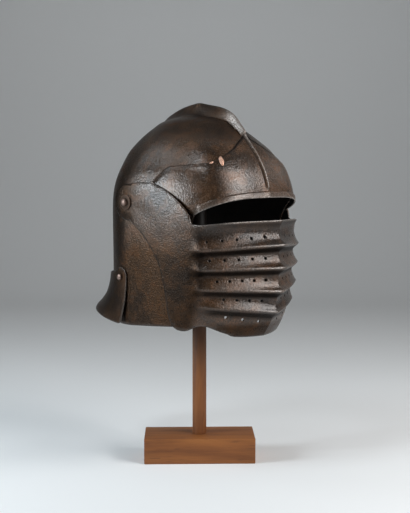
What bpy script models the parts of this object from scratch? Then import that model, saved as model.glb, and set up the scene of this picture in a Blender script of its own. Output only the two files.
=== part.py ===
"""Armet on a plain wooden stand.

The helmet faces -Y and its left side is +X. The origin is the middle of the stand block's underside, and
+Z is up. Every plate is an open surface with its thickness added, trimmed to its outline as a smith
shears a raised plate, and pierced for its rivets.
"""

import math
from collections import namedtuple

import bmesh
import bpy
from mathutils import Matrix, Vector

MM = 0.001
GAP = 0.3  # mm between touching pieces

# The helmet's own heights are told from a level this far above the foot of the stand, in mm.
SEAT_RISE = 5.0

# Stand, in mm. The block lies across the helmet's forward quarter view.
BLOCK_LENGTH = 139.0
BLOCK_WIDTH = 60.0
BLOCK_HEIGHT = 32.0
BLOCK_TURN = math.radians(-45.0)
BLOCK_BEVEL = 0.8
POST_RADIUS = 8.8
POST_TOP = 433.8

# Plates, in mm.
SKULL_THICKNESS = 1.8
BROW_THICKNESS = 1.6
BROW_CLEARANCE = 0.65
VISOR_THICKNESS = 1.5
NAPE_THICKNESS = 1.4

# Pivots, as (y, z) in mm.
VISOR_PIVOT = (28.4, 322.6)
NAPE_PIVOT = (42.0, 231.6)

# A level section of a plate: how far it reaches to the front, the side and the back of the stand's axis,
# the slope of its front at the middle in degrees, and the corner where its front has turned to 45 degrees.
Section = namedtuple("Section", "height front keel bow_x bow_y half_width widest back")

SKULL_SECTIONS = (
    Section(170.0, 100.0, 10.0, 67.0, 72.0, 93.0, 30.0, 107.4),
    Section(235.0, 104.0, 10.0, 68.5, 75.0, 93.9, 30.0, 108.2),
    Section(290.0, 109.0, 10.0, 69.0, 83.0, 94.0, 30.0, 108.8),
    Section(318.0, 114.0, 9.0, 70.5, 91.5, 94.0, 30.0, 108.8),
    Section(335.0, 111.0, 8.0, 70.5, 89.5, 93.2, 28.0, 108.2),
    Section(350.0, 106.6, 8.0, 69.0, 85.5, 90.6, 24.0, 105.8),
    Section(365.0, 99.8, 7.0, 65.0, 80.0, 85.8, 18.0, 101.0),
    Section(384.0, 87.6, 6.0, 55.5, 69.0, 74.8, 12.0, 94.0),
    Section(399.0, 75.6, 5.0, 44.0, 54.5, 62.0, 8.0, 80.5),
    Section(411.0, 62.5, 4.0, 32.5, 41.0, 48.5, 4.0, 66.5),
    Section(422.0, 44.5, 4.0, 20.5, 27.5, 32.0, 0.0, 49.0),
    Section(431.5, 0.6, 4.0, 0.35, 0.45, 0.5, 0.0, 0.6),
)

VISOR_SECTIONS = (
    Section(156.0, 100.0, 7.0, 67.5, 66.0, 92.0, 36.0, 108.0),
    Section(166.0, 106.5, 9.0, 70.5, 69.0, 93.4, 36.0, 108.0),
    Section(178.0, 114.4, 13.0, 74.8, 72.6, 94.6, 36.0, 108.0),
    Section(190.0, 120.4, 20.0, 78.0, 75.8, 95.4, 36.0, 108.0),
    Section(205.0, 124.8, 25.0, 80.2, 78.4, 96.0, 36.0, 108.0),
    Section(230.0, 128.2, 25.0, 81.8, 80.4, 96.2, 36.0, 108.0),
    Section(258.0, 129.0, 25.0, 83.0, 81.6, 96.3, 36.0, 108.0),
    Section(284.0, 128.8, 24.0, 83.8, 82.6, 96.6, 38.0, 108.0),
    Section(302.0, 130.4, 24.0, 84.9, 84.1, 97.0, 42.0, 108.0),
    Section(325.0, 130.4, 24.0, 84.9, 84.1, 97.5, 44.0, 108.0),
    Section(356.0, 130.4, 24.0, 84.9, 84.1, 97.4, 44.0, 108.0),
)

NAPE_SECTIONS = (
    Section(248.0, 104.0, 10.0, 68.5, 75.0, 95.7, 34.0, 111.0),
    Section(236.0, 104.0, 10.0, 68.5, 75.0, 95.8, 34.0, 111.6),
    Section(222.0, 104.0, 10.0, 68.5, 75.0, 95.9, 35.0, 114.4),
    Section(208.0, 104.0, 10.0, 68.5, 75.0, 96.3, 36.0, 122.5),
    Section(196.0, 104.0, 10.0, 68.5, 75.0, 97.0, 37.0, 136.5),
    Section(187.0, 104.0, 10.0, 68.5, 75.0, 97.8, 38.0, 150.0),
    Section(176.0, 104.0, 10.0, 68.5, 75.0, 98.3, 38.0, 156.0),
    Section(164.0, 104.0, 10.0, 68.5, 75.0, 98.8, 38.0, 159.0),
)

# The comb along the top of the skull: how high and how wide it is at each place from front to back.
CombPlace = namedtuple("CombPlace", "y height half_width")
COMB = (
    CombPlace(-74.0, 5.6, 4.2),
    CombPlace(-58.0, 9.6, 6.8),
    CombPlace(-35.0, 12.6, 9.2),
    CombPlace(-10.0, 12.2, 10.8),
    CombPlace(25.0, 11.0, 11.4),
    CombPlace(60.0, 7.2, 10.0),
    CombPlace(88.0, 2.4, 8.0),
    CombPlace(102.0, 0.0, 8.0),
)
BROW_CUT = 328.0  # y + z along the square cut across the plate where the brow meets the comb
COMB_TIP = 328.9

# The ridge that carries the comb's line down the brow, from its top to its pointed foot.
RIDGE_HALF_WIDTH = 3.4
RIDGE_HEIGHT = 2.6
RIDGE_FOOT_Z = 335.5
RIDGE_FADE = 7.0

# The raised band along the brow's lower edge.
RIM_WIDTH = 8.0
RIM_HEIGHT = 1.4

# The bellows of the visor: where each fold's crest lies at the keel and at its outer end, how far it
# stands out at each, and the distance from the keel at which it has faded into the cheek.
Fold = namedtuple("Fold", "keel_z end_z keel_height end_height fade")
FOLDS = (
    Fold(275.0, 269.8, 11.6, 7.2, 112.0),
    Fold(248.2, 248.4, 10.4, 7.0, 112.0),
    Fold(220.4, 226.4, 9.2, 6.4, 107.0),
    Fold(195.4, 206.0, 7.0, 4.8, 101.0),
)
UNDERCUT = 0.36  # share of the way down to the next fold that the underside of a crest takes
FOLD_FADE = 27.0
TOP_PITCH = 27.0  # above the first crest
LAST_PITCH = 24.0  # below the last
CREST_EDGE = 1.6
VISOR_LIP_Z = 302.6
LIP_HEIGHT = 2.6
LIP_DEPTH = 9.0

# Breath holes: a row under each fold, by distance from the keel.
HoleRow = namedtuple("HoleRow", "keel_z end_z first step count")
HOLE_ROWS = (
    HoleRow(285.4, 279.0, 19.0, 17.6, 5),
    HoleRow(259.6, 258.0, 17.6, 17.0, 5),
    HoleRow(233.6, 234.3, 16.6, 15.0, 5),
    HoleRow(208.0, 215.0, 19.0, 16.0, 4),
    HoleRow(181.6, 198.0, 17.6, 21.6, 3),
)
HOLE_REACH = 100.0  # distance from the keel at which end_z holds
HOLE_RADIUS = 1.4

# Outlines in side view, as (y, z) in mm.
SLIT_CORNER = (-72.6, 299.8)
VISOR_TOP = ((-160.0, 305.6), (-132.0, 303.4), (-114.0, 302.2), (-97.0, 300.0), (-84.0, 298.4), SLIT_CORNER)
VISOR_ARM = ((-71.8, 304.0), (-70.0, 309.4), (-65.0, 316.6), (-54.0, 326.6), (-39.0, 336.2), (-19.0, 344.6),
             (-2.0, 347.2), (14.0, 346.2))
VISOR_CHEEK = ((24.6, 301.6), (13.6, 294.8), (3.4, 286.6), (-5.2, 277.4), (-12.8, 268.4), (-19.0, 259.6),
               (-24.2, 250.6), (-28.2, 239.6), (-31.4, 226.0), (-34.6, 208.0), (-36.6, 190.0), (-39.6, 181.0))
VISOR_CHIN = ((-44.0, 176.0), (-51.0, 174.0), (-58.0, 174.6), (-66.0, 178.0), (-73.0, 181.2), (-80.0, 179.4),
              (-90.0, 170.8), (-100.0, 165.4), (-160.0, 162.8))
ARM_END_RADIUS = 21.6

BROW_TOP = ((-77.3, 396.8), (-80.3, 391.3), (-83.2, 385.4), (-84.2, 380.6), (-84.0, 376.4), (-81.8, 373.6),
            (-78.4, 369.6), (-69.4, 368.8), (-58.4, 367.8), (-46.1, 366.8), (-32.0, 365.6), (-26.0, 362.4),
            (-9.4, 347.6))
BROW_ARM_EDGE = ((-19.6, 343.6), (-39.4, 334.8), (-54.4, 325.2), (-65.2, 315.4), (-70.4, 309.2))
BROW_RIM = ((-77.0, 312.6), (-87.0, 317.2), (-99.0, 322.8), (-109.0, 327.2), (-117.0, 329.2), (-150.0, 329.4))

SKULL_RIM = ((-170.0, 180.0), (-50.0, 178.4), (27.0, 173.6), (170.0, 173.6))
SKULL_OPENING = ((-160.0, 334.0), (-112.0, 333.0), (-90.0, 326.0), (-74.0, 314.0), (-66.0, 300.0),
                 (-58.0, 270.0), (-52.0, 240.0), (-48.0, 210.0), (-47.0, 160.0), (-160.0, 160.0))

NAPE_TOP = ((51.0, 239.4), (60.0, 236.2), (80.0, 233.8), (110.0, 232.8), (170.0, 232.2))
NAPE_RIM = ((170.0, 190.0), (150.0, 188.4), (115.0, 183.6), (80.0, 178.6), (41.5, 174.2))
NAPE_FRONT = ((37.4, 182.0), (34.6, 194.0), (31.8, 209.0), (30.6, 226.0))
LOBE_RADIUS = 11.6

# Rivets: where the face of the plate below the head lies, the head, the shank and the peened end inside.
Rivet = namedtuple("Rivet", "pivot face_x head_radius head_height shank_radius length burr_radius")
VISOR_RIVET = Rivet(VISOR_PIVOT, 99.5, 5.0, 3.4, 2.6, 8.75, 4.6)
NAPE_RIVET = Rivet(NAPE_PIVOT, 96.2, 4.2, 2.4, 2.0, 7.2, 3.4)
SHANK_CLEARANCE = 0.35
BURR_HEIGHT = 1.5
WASHER_FACE_X = 97.85
WASHER_RADIUS = 9.0
WASHER_THICKNESS = 1.3

# Spots of brazing copper on the brow's upper edge, on the right side only.
Braze = namedtuple("Braze", "name height distance length width lean")
BRAZES = (
    Braze("braze_spot_large", 370.6, 53.8, 10.0, 4.6, 3.0),
    Braze("braze_spot_small", 369.0, 66.0, 5.0, 2.4, -56.0),
)
BRAZE_THICKNESS = 1.1


def clear_scene():
    for old in list(bpy.data.objects):
        bpy.data.objects.remove(old, do_unlink=True)


def new_collection(name):
    collection = bpy.data.collections.new(name)
    bpy.context.scene.collection.children.link(collection)
    return collection


def principled(name, colour, roughness, metallic):
    material = bpy.data.materials.new(name)
    material.use_nodes = True
    shader = material.node_tree.nodes["Principled BSDF"]
    shader.inputs["Base Color"].default_value = (*colour, 1.0)
    shader.inputs["Roughness"].default_value = roughness
    shader.inputs["Metallic"].default_value = metallic
    return material


def add_object(name, mesh, material, collection):
    obj = bpy.data.objects.new(name, mesh)
    obj.parent = bpy.data.objects["helmet_seat"]
    if material:
        mesh.materials.append(material)
    collection.objects.link(obj)
    return obj


def add_seat(collection):
    """The empty that every piece of the helmet hangs from."""
    seat = bpy.data.objects.new("helmet_seat", None)
    seat.location = (0.0, 0.0, SEAT_RISE * MM)
    collection.objects.link(seat)


def hinge_at(obj, pivot):
    """Puts a moving plate's origin on its hinge, without moving the plate."""
    place = Vector((0.0, *pivot)) * MM
    obj.data.transform(Matrix.Translation(-place))
    obj.location = place


def smoothstep(value):
    t = min(1.0, max(0.0, value))
    return t * t * (3.0 - 2.0 * t)


def between(rows, place):
    """Every column of a table at a place between its rows, on a smooth curve through them."""
    last = len(rows) - 1
    first = min(int(place), last - 1)
    t = place - first
    near = [rows[max(0, min(last, first + step))] for step in (-1, 0, 1, 2)]
    mixed = [
        0.5 * (2 * b + (c - a) * t + (2 * a - 5 * b + 4 * c - d) * t * t + (3 * b - a - 3 * c + d) * t ** 3)
        for a, b, c, d in zip(*near)
    ]
    return type(rows[0])(*mixed)


def at_height(rows, height):
    """The section at a height, whichever way the table's heights run."""
    low, high = 0.0, len(rows) - 1.0
    rising = rows[-1].height > rows[0].height
    for _ in range(40):
        middle = 0.5 * (low + high)
        if (between(rows, middle).height < height) == rising:
            low = middle
        else:
            high = middle
    return between(rows, 0.5 * (low + high))


def along(rows, column, value):
    """A row of a table read at a value of one of its columns, straight between rows."""
    values = [getattr(row, column) for row in rows]
    if value <= values[0]:
        return rows[0]
    for low, high in zip(rows, rows[1:]):
        top = getattr(high, column)
        if value <= top:
            share = (value - getattr(low, column)) / (top - getattr(low, column))
            return type(low)(*(a + (b - a) * share for a, b in zip(low, high)))
    return rows[-1]


def bezier(a, b, c, d, t):
    s = 1.0 - t
    return s * s * s * a + 3 * s * s * t * b + 3 * s * t * t * c + t * t * t * d


def half_section(section, steps=24):
    """Points of the right half of a section, from the middle of its front to the middle of its back."""
    keel = math.radians(section.keel)
    front = Vector((0.0, -section.front))
    bow = Vector((-section.bow_x, -section.bow_y))
    side = Vector((-section.half_width, section.widest))
    back = Vector((0.0, section.back))
    reach = 0.36 * (bow - front).length
    turn = 0.7 * (section.half_width - section.bow_x)
    flat = 0.375 * (section.widest + section.bow_y)
    round_y = 0.5523 * (section.back - section.widest)
    round_x = 0.5523 * section.half_width
    diagonal = math.sqrt(0.5)
    curves = (
        (front, front + reach * Vector((-math.cos(keel), math.sin(keel))),
         bow - reach * Vector((-diagonal, diagonal)), bow),
        (bow, bow + turn * Vector((-1.0, 1.0)), side - Vector((0.0, flat)), side),
        (side, side + Vector((0.0, round_y)), back + Vector((-round_x, 0.0)), back),
    )
    points = [front]
    for curve in curves:
        points += [bezier(*curve, (step + 1) / steps) for step in range(steps)]
    return points


def at_lengths(points, lengths):
    """Points at the given distances along a run of points."""
    found = []
    travelled = 0.0
    place = 0
    for wanted in lengths:
        while place < len(points) - 2 and travelled + (points[place + 1] - points[place]).length < wanted:
            travelled += (points[place + 1] - points[place]).length
            place += 1
        span = (points[place + 1] - points[place]).length
        share = min(1.0, max(0.0, (wanted - travelled) / span)) if span > 1e-9 else 0.0
        found.append(points[place].lerp(points[place + 1], share))
    return found


def length_of(points):
    return sum((b - a).length for a, b in zip(points, points[1:]))


def grid_mesh(name, rows):
    """A mesh of quads through rows of points in mm, each row as long as the next."""
    mesh = bpy.data.meshes.new(name)
    wide = len(rows[0])
    points = [tuple(c * MM for c in point) for row in rows for point in row]
    faces = []
    for r in range(len(rows) - 1):
        for c in range(wide - 1):
            corner = r * wide + c
            faces.append((corner, corner + 1, corner + wide + 1, corner + wide))
    mesh.from_pydata(points, [], faces)
    return mesh


def face_outwards(obj, rising):
    """The rows of a half run from front to back, so a rising table winds the other way."""
    if rising:
        work = bmesh.new()
        work.from_mesh(obj.data)
        bmesh.ops.reverse_faces(work, faces=work.faces)
        work.to_mesh(obj.data)
        work.free()


def mirror_across_middle(obj):
    mirror = obj.modifiers.new("other_half", "MIRROR")
    mirror.use_clip = True
    mirror.merge_threshold = 0.0001


def give_thickness(obj, thickness, lift=0.0):
    """Walls the surface, from thickness below it to it, or that much further out."""
    wall = obj.modifiers.new("plate", "SOLIDIFY")
    wall.thickness = thickness * MM
    wall.offset = -1.0 + 2.0 * lift / thickness
    wall.use_even_offset = True
    wall.use_quality_normals = True


def add_boolean(obj, cutter, operation):
    cut = obj.modifiers.new(cutter.name, "BOOLEAN")
    cut.operation = operation
    cut.object = cutter
    cut.solver = "EXACT"


def outline_cutter(name, outline, collection, x_from=-140.0, x_to=140.0):
    """A closed side-view outline of (y, z) points in mm, drawn out from one x to another."""
    mesh = bpy.data.meshes.new(name)
    work = bmesh.new()
    verts = [work.verts.new((x_from * MM, y * MM, z * MM)) for y, z in outline]
    face = work.faces.new(verts)
    drawn = bmesh.ops.extrude_face_region(work, geom=[face])
    moved = [item for item in drawn["geom"] if isinstance(item, bmesh.types.BMVert)]
    bmesh.ops.translate(work, verts=moved, vec=Vector(((x_to - x_from) * MM, 0.0, 0.0)))
    bmesh.ops.recalc_face_normals(work, faces=work.faces)
    work.to_mesh(mesh)
    work.free()
    cutter = add_object(name, mesh, None, collection)
    cutter.hide_render = True
    cutter.display_type = "WIRE"
    return cutter


def rounded(points, steps=4):
    """A smooth run through side-view points."""
    Place = namedtuple("Place", "y z")
    rows = [Place(*point) for point in points]
    count = (len(rows) - 1) * steps
    return [tuple(between(rows, (len(rows) - 1) * step / count)) for step in range(count + 1)]


def arc(centre, radius, start, end, steps):
    """Side-view points round a centre, by angle in degrees from +Y towards +Z."""
    angles = [math.radians(start + (end - start) * step / steps) for step in range(steps + 1)]
    return [(centre[0] + radius * math.cos(a), centre[1] + radius * math.sin(a)) for a in angles]


def comb_at(y, rows=COMB):
    return along(rows, "y", y)


def comb_lift(point):
    """How far the skull's surface rises at a point for its comb."""
    if point.y + point.z < COMB_TIP:
        return 0.0
    place = comb_at(point.y)
    return place.height * max(0.0, 1.0 - abs(point.x) / place.half_width)


def comb_tip_place():
    """Where in the table of sections the comb's front tip lies."""
    low, high = 0.0, len(SKULL_SECTIONS) - 1.0
    for _ in range(40):
        middle = 0.5 * (low + high)
        section = between(SKULL_SECTIONS, middle)
        if section.height - section.front < COMB_TIP:
            low = middle
        else:
            high = middle
    return high


def skull_rows(places, columns):
    """Rows of points of the skull's right half, with columns that follow the comb's two edges."""
    rows = []
    for place in places:
        section = between(SKULL_SECTIONS, place)
        outline = half_section(section)
        total = length_of(outline)
        front = min(comb_at(-section.front).half_width, 0.25 * total)
        back = min(comb_at(section.back).half_width, 0.25 * total)
        inner = [front + (total - front - back) * step / columns for step in range(columns + 1)]
        lengths = [0.0, 0.5 * front] + inner + [total - 0.5 * back, total]
        rows.append([Vector((p.x, p.y, section.height)) for p in at_lengths(outline, lengths)])
    return rows


def lift_rows(rows, lift):
    """Moves each point of a grid out along its normal by lift(point), and keeps the middle in the middle."""
    lifted = []
    for r, row in enumerate(rows):
        above = rows[min(r + 1, len(rows) - 1)]
        below = rows[max(r - 1, 0)]
        new_row = []
        for c, point in enumerate(row):
            across = row[min(c + 1, len(row) - 1)] - row[max(c - 1, 0)]
            if c == 0:
                across = Vector((-1.0, 0.0, 0.0))
            if abs(point.x) < 1e-6 and c:
                across = Vector((1.0, 0.0, 0.0))
            normal = across.cross(above[c] - below[c])
            amount = lift(point)
            if normal.length < 1e-9 or not amount:
                new_row.append(point.copy())
                continue
            normal.normalize()
            if normal.dot(Vector((point.x, point.y, max(0.0, point.z - 330.0)))) < 0.0:
                normal.negate()
            new_row.append(point + normal * amount)
        lifted.append(new_row)
    return lifted


def make_skull(material, parts, cutters):
    """The skull with its comb: one raised plate, open below and in front of the face."""
    last = len(SKULL_SECTIONS) - 1.0
    tip = comb_tip_place()
    places = [0.0, 1.0, 2.0, 3.0, 3.7, 4.4, 5.0, 5.6, 6.2, 6.8, 7.4, tip - 0.01, tip + 0.02, 8.8, 9.2, 9.6, 10.0,
              10.35, 10.65, 10.88, last]
    rows = lift_rows(skull_rows(places, 15), comb_lift)
    top = rows[-1]
    middle = sum((p.z for p in top)) / len(top)
    crown = max(middle, rows[-2][0].z, rows[-2][-1].z)
    rows[-1] = [Vector((0.0, 0.0, crown + 0.8)) for _ in top]
    obj = add_object("skull", grid_mesh("skull", rows), material, parts)
    work = bmesh.new()
    work.from_mesh(obj.data)
    bmesh.ops.remove_doubles(work, verts=work.verts, dist=1e-5)
    bmesh.ops.dissolve_degenerate(work, edges=work.edges, dist=1e-6)
    work.to_mesh(obj.data)
    work.free()
    face_outwards(obj, True)
    mirror_across_middle(obj)
    give_thickness(obj, SKULL_THICKNESS)
    opening = list(SKULL_OPENING[:1]) + rounded(SKULL_OPENING[1:9], 2) + [SKULL_OPENING[9]]
    add_boolean(obj, outline_cutter("face_opening", opening, cutters), "DIFFERENCE")
    below = ((-170.0, 150.0), (170.0, 150.0)) + tuple(reversed(SKULL_RIM))
    add_boolean(obj, outline_cutter("skull_rim", below, cutters), "DIFFERENCE")
    return obj


def brow_lift(point):
    """The brow's ridge, and the band along its lower edge."""
    foot = smoothstep((point.z - RIDGE_FOOT_Z) / RIDGE_FADE)
    share = abs(point.x) / (RIDGE_HALF_WIDTH * (0.45 + 0.55 * foot))
    ridge = RIDGE_HEIGHT * foot * max(0.0, 1.0 - share)
    rim_z = rim_height(point.y)
    inside = rim_z + RIM_WIDTH - point.z
    band = RIM_HEIGHT * smoothstep(inside / 1.5 + 0.5) * smoothstep((-73.0 - point.y) / 6.0)
    return max(ridge, band)


def rim_height(y):
    Place = namedtuple("Place", "back z")
    rows = [Place(-a, b) for a, b in (BROW_ARM_EDGE[-1],) + BROW_RIM]
    return along(rows, "back", -y).z


def brow_point(distance, z):
    """A point of the plain front of the skull, by distance from the middle line and height."""
    outline = half_section(at_height(SKULL_SECTIONS, z))
    flat = at_lengths(outline, [min(distance, 0.9 * length_of(outline))])[0]
    return Vector((flat.x, flat.y, z))


def brow_levels(distance):
    """Heights of the brow's rows at a distance from the middle line: close together at its raised band."""
    rim = 325.0
    for _ in range(6):
        rim = rim_height(brow_point(distance, rim).y)
    low = [rim + step for step in (-16.0, -8.0, 0.0, 3.6, RIM_WIDTH - 1.2, RIM_WIDTH + 0.2, RIM_WIDTH + 3.0)]
    start = low[-1]
    return low + [start + (410.0 - start) * step / 9 for step in range(1, 10)]


def make_brow(material, parts, cutters):
    """The brow plate: laid over the front of the skull, with a ridge and a raised band above the sight."""
    distances = [0.0, 0.5 * RIDGE_HALF_WIDTH, RIDGE_HALF_WIDTH, 7.0] + [7.0 + 10.4 * step for step in range(1, 17)]
    levels = [brow_levels(distance) for distance in distances]
    rows = []
    for index in range(len(levels[0])):
        rows.append([brow_point(distance, column[index]) for distance, column in zip(distances, levels)])
    rows = lift_rows(rows, brow_lift)
    obj = add_object("brow_plate", grid_mesh("brow_plate", rows), material, parts)
    face_outwards(obj, True)
    mirror_across_middle(obj)
    give_thickness(obj, BROW_THICKNESS, BROW_CLEARANCE + BROW_THICKNESS)
    outline = [(-120.0, BROW_CUT + 120.0), (-74.8, BROW_CUT + 74.8)] + list(BROW_TOP)
    outline += rounded(BROW_ARM_EDGE, 2)[:-1] + rounded((BROW_ARM_EDGE[-1],) + BROW_RIM, 2)
    add_boolean(obj, outline_cutter("brow_outline", outline, cutters), "INTERSECT")
    return obj


def fold_place(fold, distance):
    """Height of a fold's crest and how far it stands out, at a distance from the keel."""
    share = min(1.0, distance / fold.fade)
    height = fold.keel_height + (fold.end_height - fold.keel_height) * smoothstep(share * 1.6)
    fading = 1.0 - smoothstep((distance - fold.fade + FOLD_FADE) / FOLD_FADE)
    return fold.keel_z + (fold.end_z - fold.keel_z) * share, height * fading


def bellows(distance, z):
    """How far the visor stands out at a distance from the keel and a height, for its folds."""
    crests = [fold_place(fold, distance) for fold in FOLDS]
    tops = [crests[0][0] + TOP_PITCH] + [crest[0] for crest in crests]
    for index, (crest_z, out) in enumerate(crests):
        next_z = crests[index + 1][0] if index + 1 < len(crests) else crest_z - LAST_PITCH
        trough = crest_z - UNDERCUT * (crest_z - next_z)
        if trough <= z <= crest_z:
            return out * (1.0 - smoothstep((crest_z - z) / (crest_z - trough)) ** 0.9)
        top_trough = tops[index] - UNDERCUT * (tops[index] - crest_z)
        if crest_z < z <= top_trough:
            return out * ((top_trough - z) / (top_trough - crest_z)) ** 1.8
    return 0.0


def visor_levels(distance):
    """Heights of the visor's rows at a distance from the keel: a few to each fold's crest and trough."""
    crests = [fold_place(fold, distance)[0] for fold in FOLDS]
    levels = [356.0, 340.0, 325.0, 311.0, VISOR_LIP_Z]
    above = crests[0] + TOP_PITCH
    trough = above - UNDERCUT * TOP_PITCH
    levels += [0.5 * (VISOR_LIP_Z + trough), trough, 0.4 * trough + 0.6 * crests[0]]
    for crest, below in zip(crests, crests[1:] + [crests[-1] - LAST_PITCH]):
        pitch = crest - below
        trough = crest - UNDERCUT * pitch
        levels += [crest, crest - CREST_EDGE, 0.45 * crest + 0.55 * trough, trough, 0.55 * trough + 0.45 * below]
    return levels[:-1] + [180.0, 171.0, 163.0, 156.0]


def visor_rows():
    distances = [0.0, 6.0, 16.0, 28.0, 41.0, 54.0, 67.0, 79.0, 90.0, 99.0, 107.0, 116.0, 128.0, 146.0, 170.0, 200.0,
                 222.0, 236.0]
    count = len(visor_levels(0.0))
    rows = []
    for index in range(count):
        row = []
        for distance in distances:
            z = visor_levels(distance)[index]
            place, outwards = wall_place(distance, z)
            out = bellows(distance, z)
            lip = LIP_HEIGHT * smoothstep((z - VISOR_LIP_Z + LIP_DEPTH) / LIP_DEPTH)
            lip *= 1.0 - smoothstep((distance - 90.0) / 14.0)
            spot = place + outwards * (out + lip)
            row.append(Vector((spot.x, spot.y, z)))
        rows.append(row)
    return rows


def wall_place(distance, z):
    """A point of the plain visor wall in plan, and the level direction out of it."""
    outline = half_section(at_height(VISOR_SECTIONS, z))
    place = at_lengths(outline, [max(0.0, distance - 0.5), distance, distance + 0.5])
    along_wall = place[2] - place[0]
    outwards = Vector((-along_wall.y, along_wall.x)).normalized()
    if outwards.dot(place[1]) < 0.0:
        outwards.negate()
    if distance == 0.0:
        outwards = Vector((0.0, -1.0))
    return place[1], outwards


def breath_hole_cutter(collection):
    """Every breath hole's drill, both sides, as one object."""
    work = bmesh.new()
    for row in HOLE_ROWS:
        for index in range(row.count):
            distance = row.first + row.step * index
            z = row.keel_z + (row.end_z - row.keel_z) * distance / HOLE_REACH
            place, outwards = wall_place(distance, z)
            centre = place + outwards * bellows(distance, z)
            for side in (1.0, -1.0):
                axis = Vector((outwards.x * side, outwards.y, 0.0))
                turn = axis.to_track_quat("Z", "Y").to_matrix().to_4x4()
                turn.translation = Vector((centre.x * side, centre.y, z)) * MM
                bmesh.ops.create_cone(work, cap_ends=True, segments=8, radius1=HOLE_RADIUS * MM,
                                      radius2=HOLE_RADIUS * MM, depth=12.0 * MM, matrix=turn)
    mesh = bpy.data.meshes.new("breath_holes")
    work.to_mesh(mesh)
    work.free()
    cutter = add_object("breath_holes", mesh, None, collection)
    cutter.hide_render = True
    cutter.display_type = "WIRE"
    return cutter


def rivet_hole_cutter(name, rivet, collection):
    """The two holes for a pair of rivets, as one drill across the helmet at each side."""
    work = bmesh.new()
    for side in (1.0, -1.0):
        turn = Vector((side, 0.0, 0.0)).to_track_quat("Z", "Y").to_matrix().to_4x4()
        turn.translation = Vector((side * rivet.face_x, *rivet.pivot)) * MM
        radius = (rivet.shank_radius + SHANK_CLEARANCE) * MM
        bmesh.ops.create_cone(work, cap_ends=True, segments=16, radius1=radius, radius2=radius,
                              depth=30.0 * MM, matrix=turn)
    mesh = bpy.data.meshes.new(name)
    work.to_mesh(mesh)
    work.free()
    cutter = add_object(name, mesh, None, collection)
    cutter.hide_render = True
    cutter.display_type = "WIRE"
    return cutter


def visor_outline():
    end = arc(VISOR_PIVOT, ARM_END_RADIUS, 84.0, -100.0, 12)
    return rounded(VISOR_TOP, 2) + rounded(VISOR_ARM, 2) + end + rounded(VISOR_CHEEK + VISOR_CHIN, 2)[1:]


def make_visor(material, parts, cutters):
    """The visor: bellows folds over the face, a smooth cheek, and an arm to the pivot at each side."""
    obj = add_object("visor", grid_mesh("visor", visor_rows()), material, parts)
    mirror_across_middle(obj)
    give_thickness(obj, VISOR_THICKNESS)
    add_boolean(obj, outline_cutter("visor_outline", visor_outline(), cutters), "INTERSECT")
    return obj


def nape_outline():
    lobe = arc(NAPE_PIVOT, LOBE_RADIUS, 192.0, 62.0, 8)
    return rounded(NAPE_TOP, 1) + rounded(NAPE_RIM, 2) + rounded(NAPE_FRONT, 2)[:-1] + lobe


def make_nape(material, parts, cutters):
    """The nape plate: a flared tail that hangs on a rivet at each side."""
    rows = []
    places = [step * 0.5 for step in range(2 * len(NAPE_SECTIONS) - 1)]
    for place in places:
        section = between(NAPE_SECTIONS, place)
        outline = half_section(section)
        total = length_of(outline)
        start = total * 0.40
        lengths = [start + (total - start) * step / 14 for step in range(15)]
        rows.append([Vector((p.x, p.y, section.height)) for p in at_lengths(outline, lengths)])
    obj = add_object("nape_plate", grid_mesh("nape_plate", rows), material, parts)
    mirror_across_middle(obj)
    give_thickness(obj, NAPE_THICKNESS)
    add_boolean(obj, outline_cutter("nape_outline", nape_outline(), cutters), "INTERSECT")
    return obj


def turned(name, profile, material, parts, steps=16):
    """A solid turned from (radius, height) points in mm; a run that ends off the axis is a ring's, and closes."""
    mesh = bpy.data.meshes.new(name)
    points = [(radius * MM, 0.0, height * MM) for radius, height in profile]
    edges = [(i, i + 1) for i in range(len(points) - 1)]
    if profile[-1][0] > 0.0:
        edges.append((len(points) - 1, 0))
    mesh.from_pydata(points, edges, [])
    obj = add_object(name, mesh, material, parts)
    screw = obj.modifiers.new("turn", "SCREW")
    screw.steps = steps
    screw.render_steps = steps
    screw.use_merge_vertices = True
    screw.merge_threshold = 0.00001
    return obj


def point_outwards(obj, face_x, pivot, side):
    """Turns a part made along +Z to lie along the pivot's axis, facing out of one side of the helmet."""
    obj.location = Vector((side * face_x, *pivot)) * MM
    obj.rotation_euler = (0.0, side * math.radians(90.0), 0.0)


def rivet_profile(rivet):
    """A domed head, a plain shank and a peened end."""
    dome = [(rivet.head_radius * math.sin(math.radians(a)), rivet.head_height * math.cos(math.radians(a)))
            for a in range(0, 91, 30)]
    end = -rivet.length
    return dome + [(rivet.shank_radius, 0.0), (rivet.shank_radius, end), (rivet.burr_radius, end),
                   (rivet.burr_radius - 0.5, end - BURR_HEIGHT), (0.0, end - BURR_HEIGHT)]


def make_rivets(material, parts):
    inner = VISOR_RIVET.shank_radius + SHANK_CLEARANCE
    washer = ((inner, WASHER_THICKNESS), (WASHER_RADIUS - 0.5, WASHER_THICKNESS),
              (WASHER_RADIUS, WASHER_THICKNESS - 0.5), (WASHER_RADIUS, 0.0), (inner, 0.0))
    for side, word in ((-1.0, "right"), (1.0, "left")):
        rivet = turned("visor_rivet_" + word, rivet_profile(VISOR_RIVET), material, parts)
        point_outwards(rivet, VISOR_RIVET.face_x, VISOR_PIVOT, side)
        ring = turned("visor_washer_" + word, washer, material, parts, 24)
        point_outwards(ring, WASHER_FACE_X, VISOR_PIVOT, side)
        rivet = turned("nape_rivet_" + word, rivet_profile(NAPE_RIVET), material, parts)
        point_outwards(rivet, NAPE_RIVET.face_x, NAPE_PIVOT, side)


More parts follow.
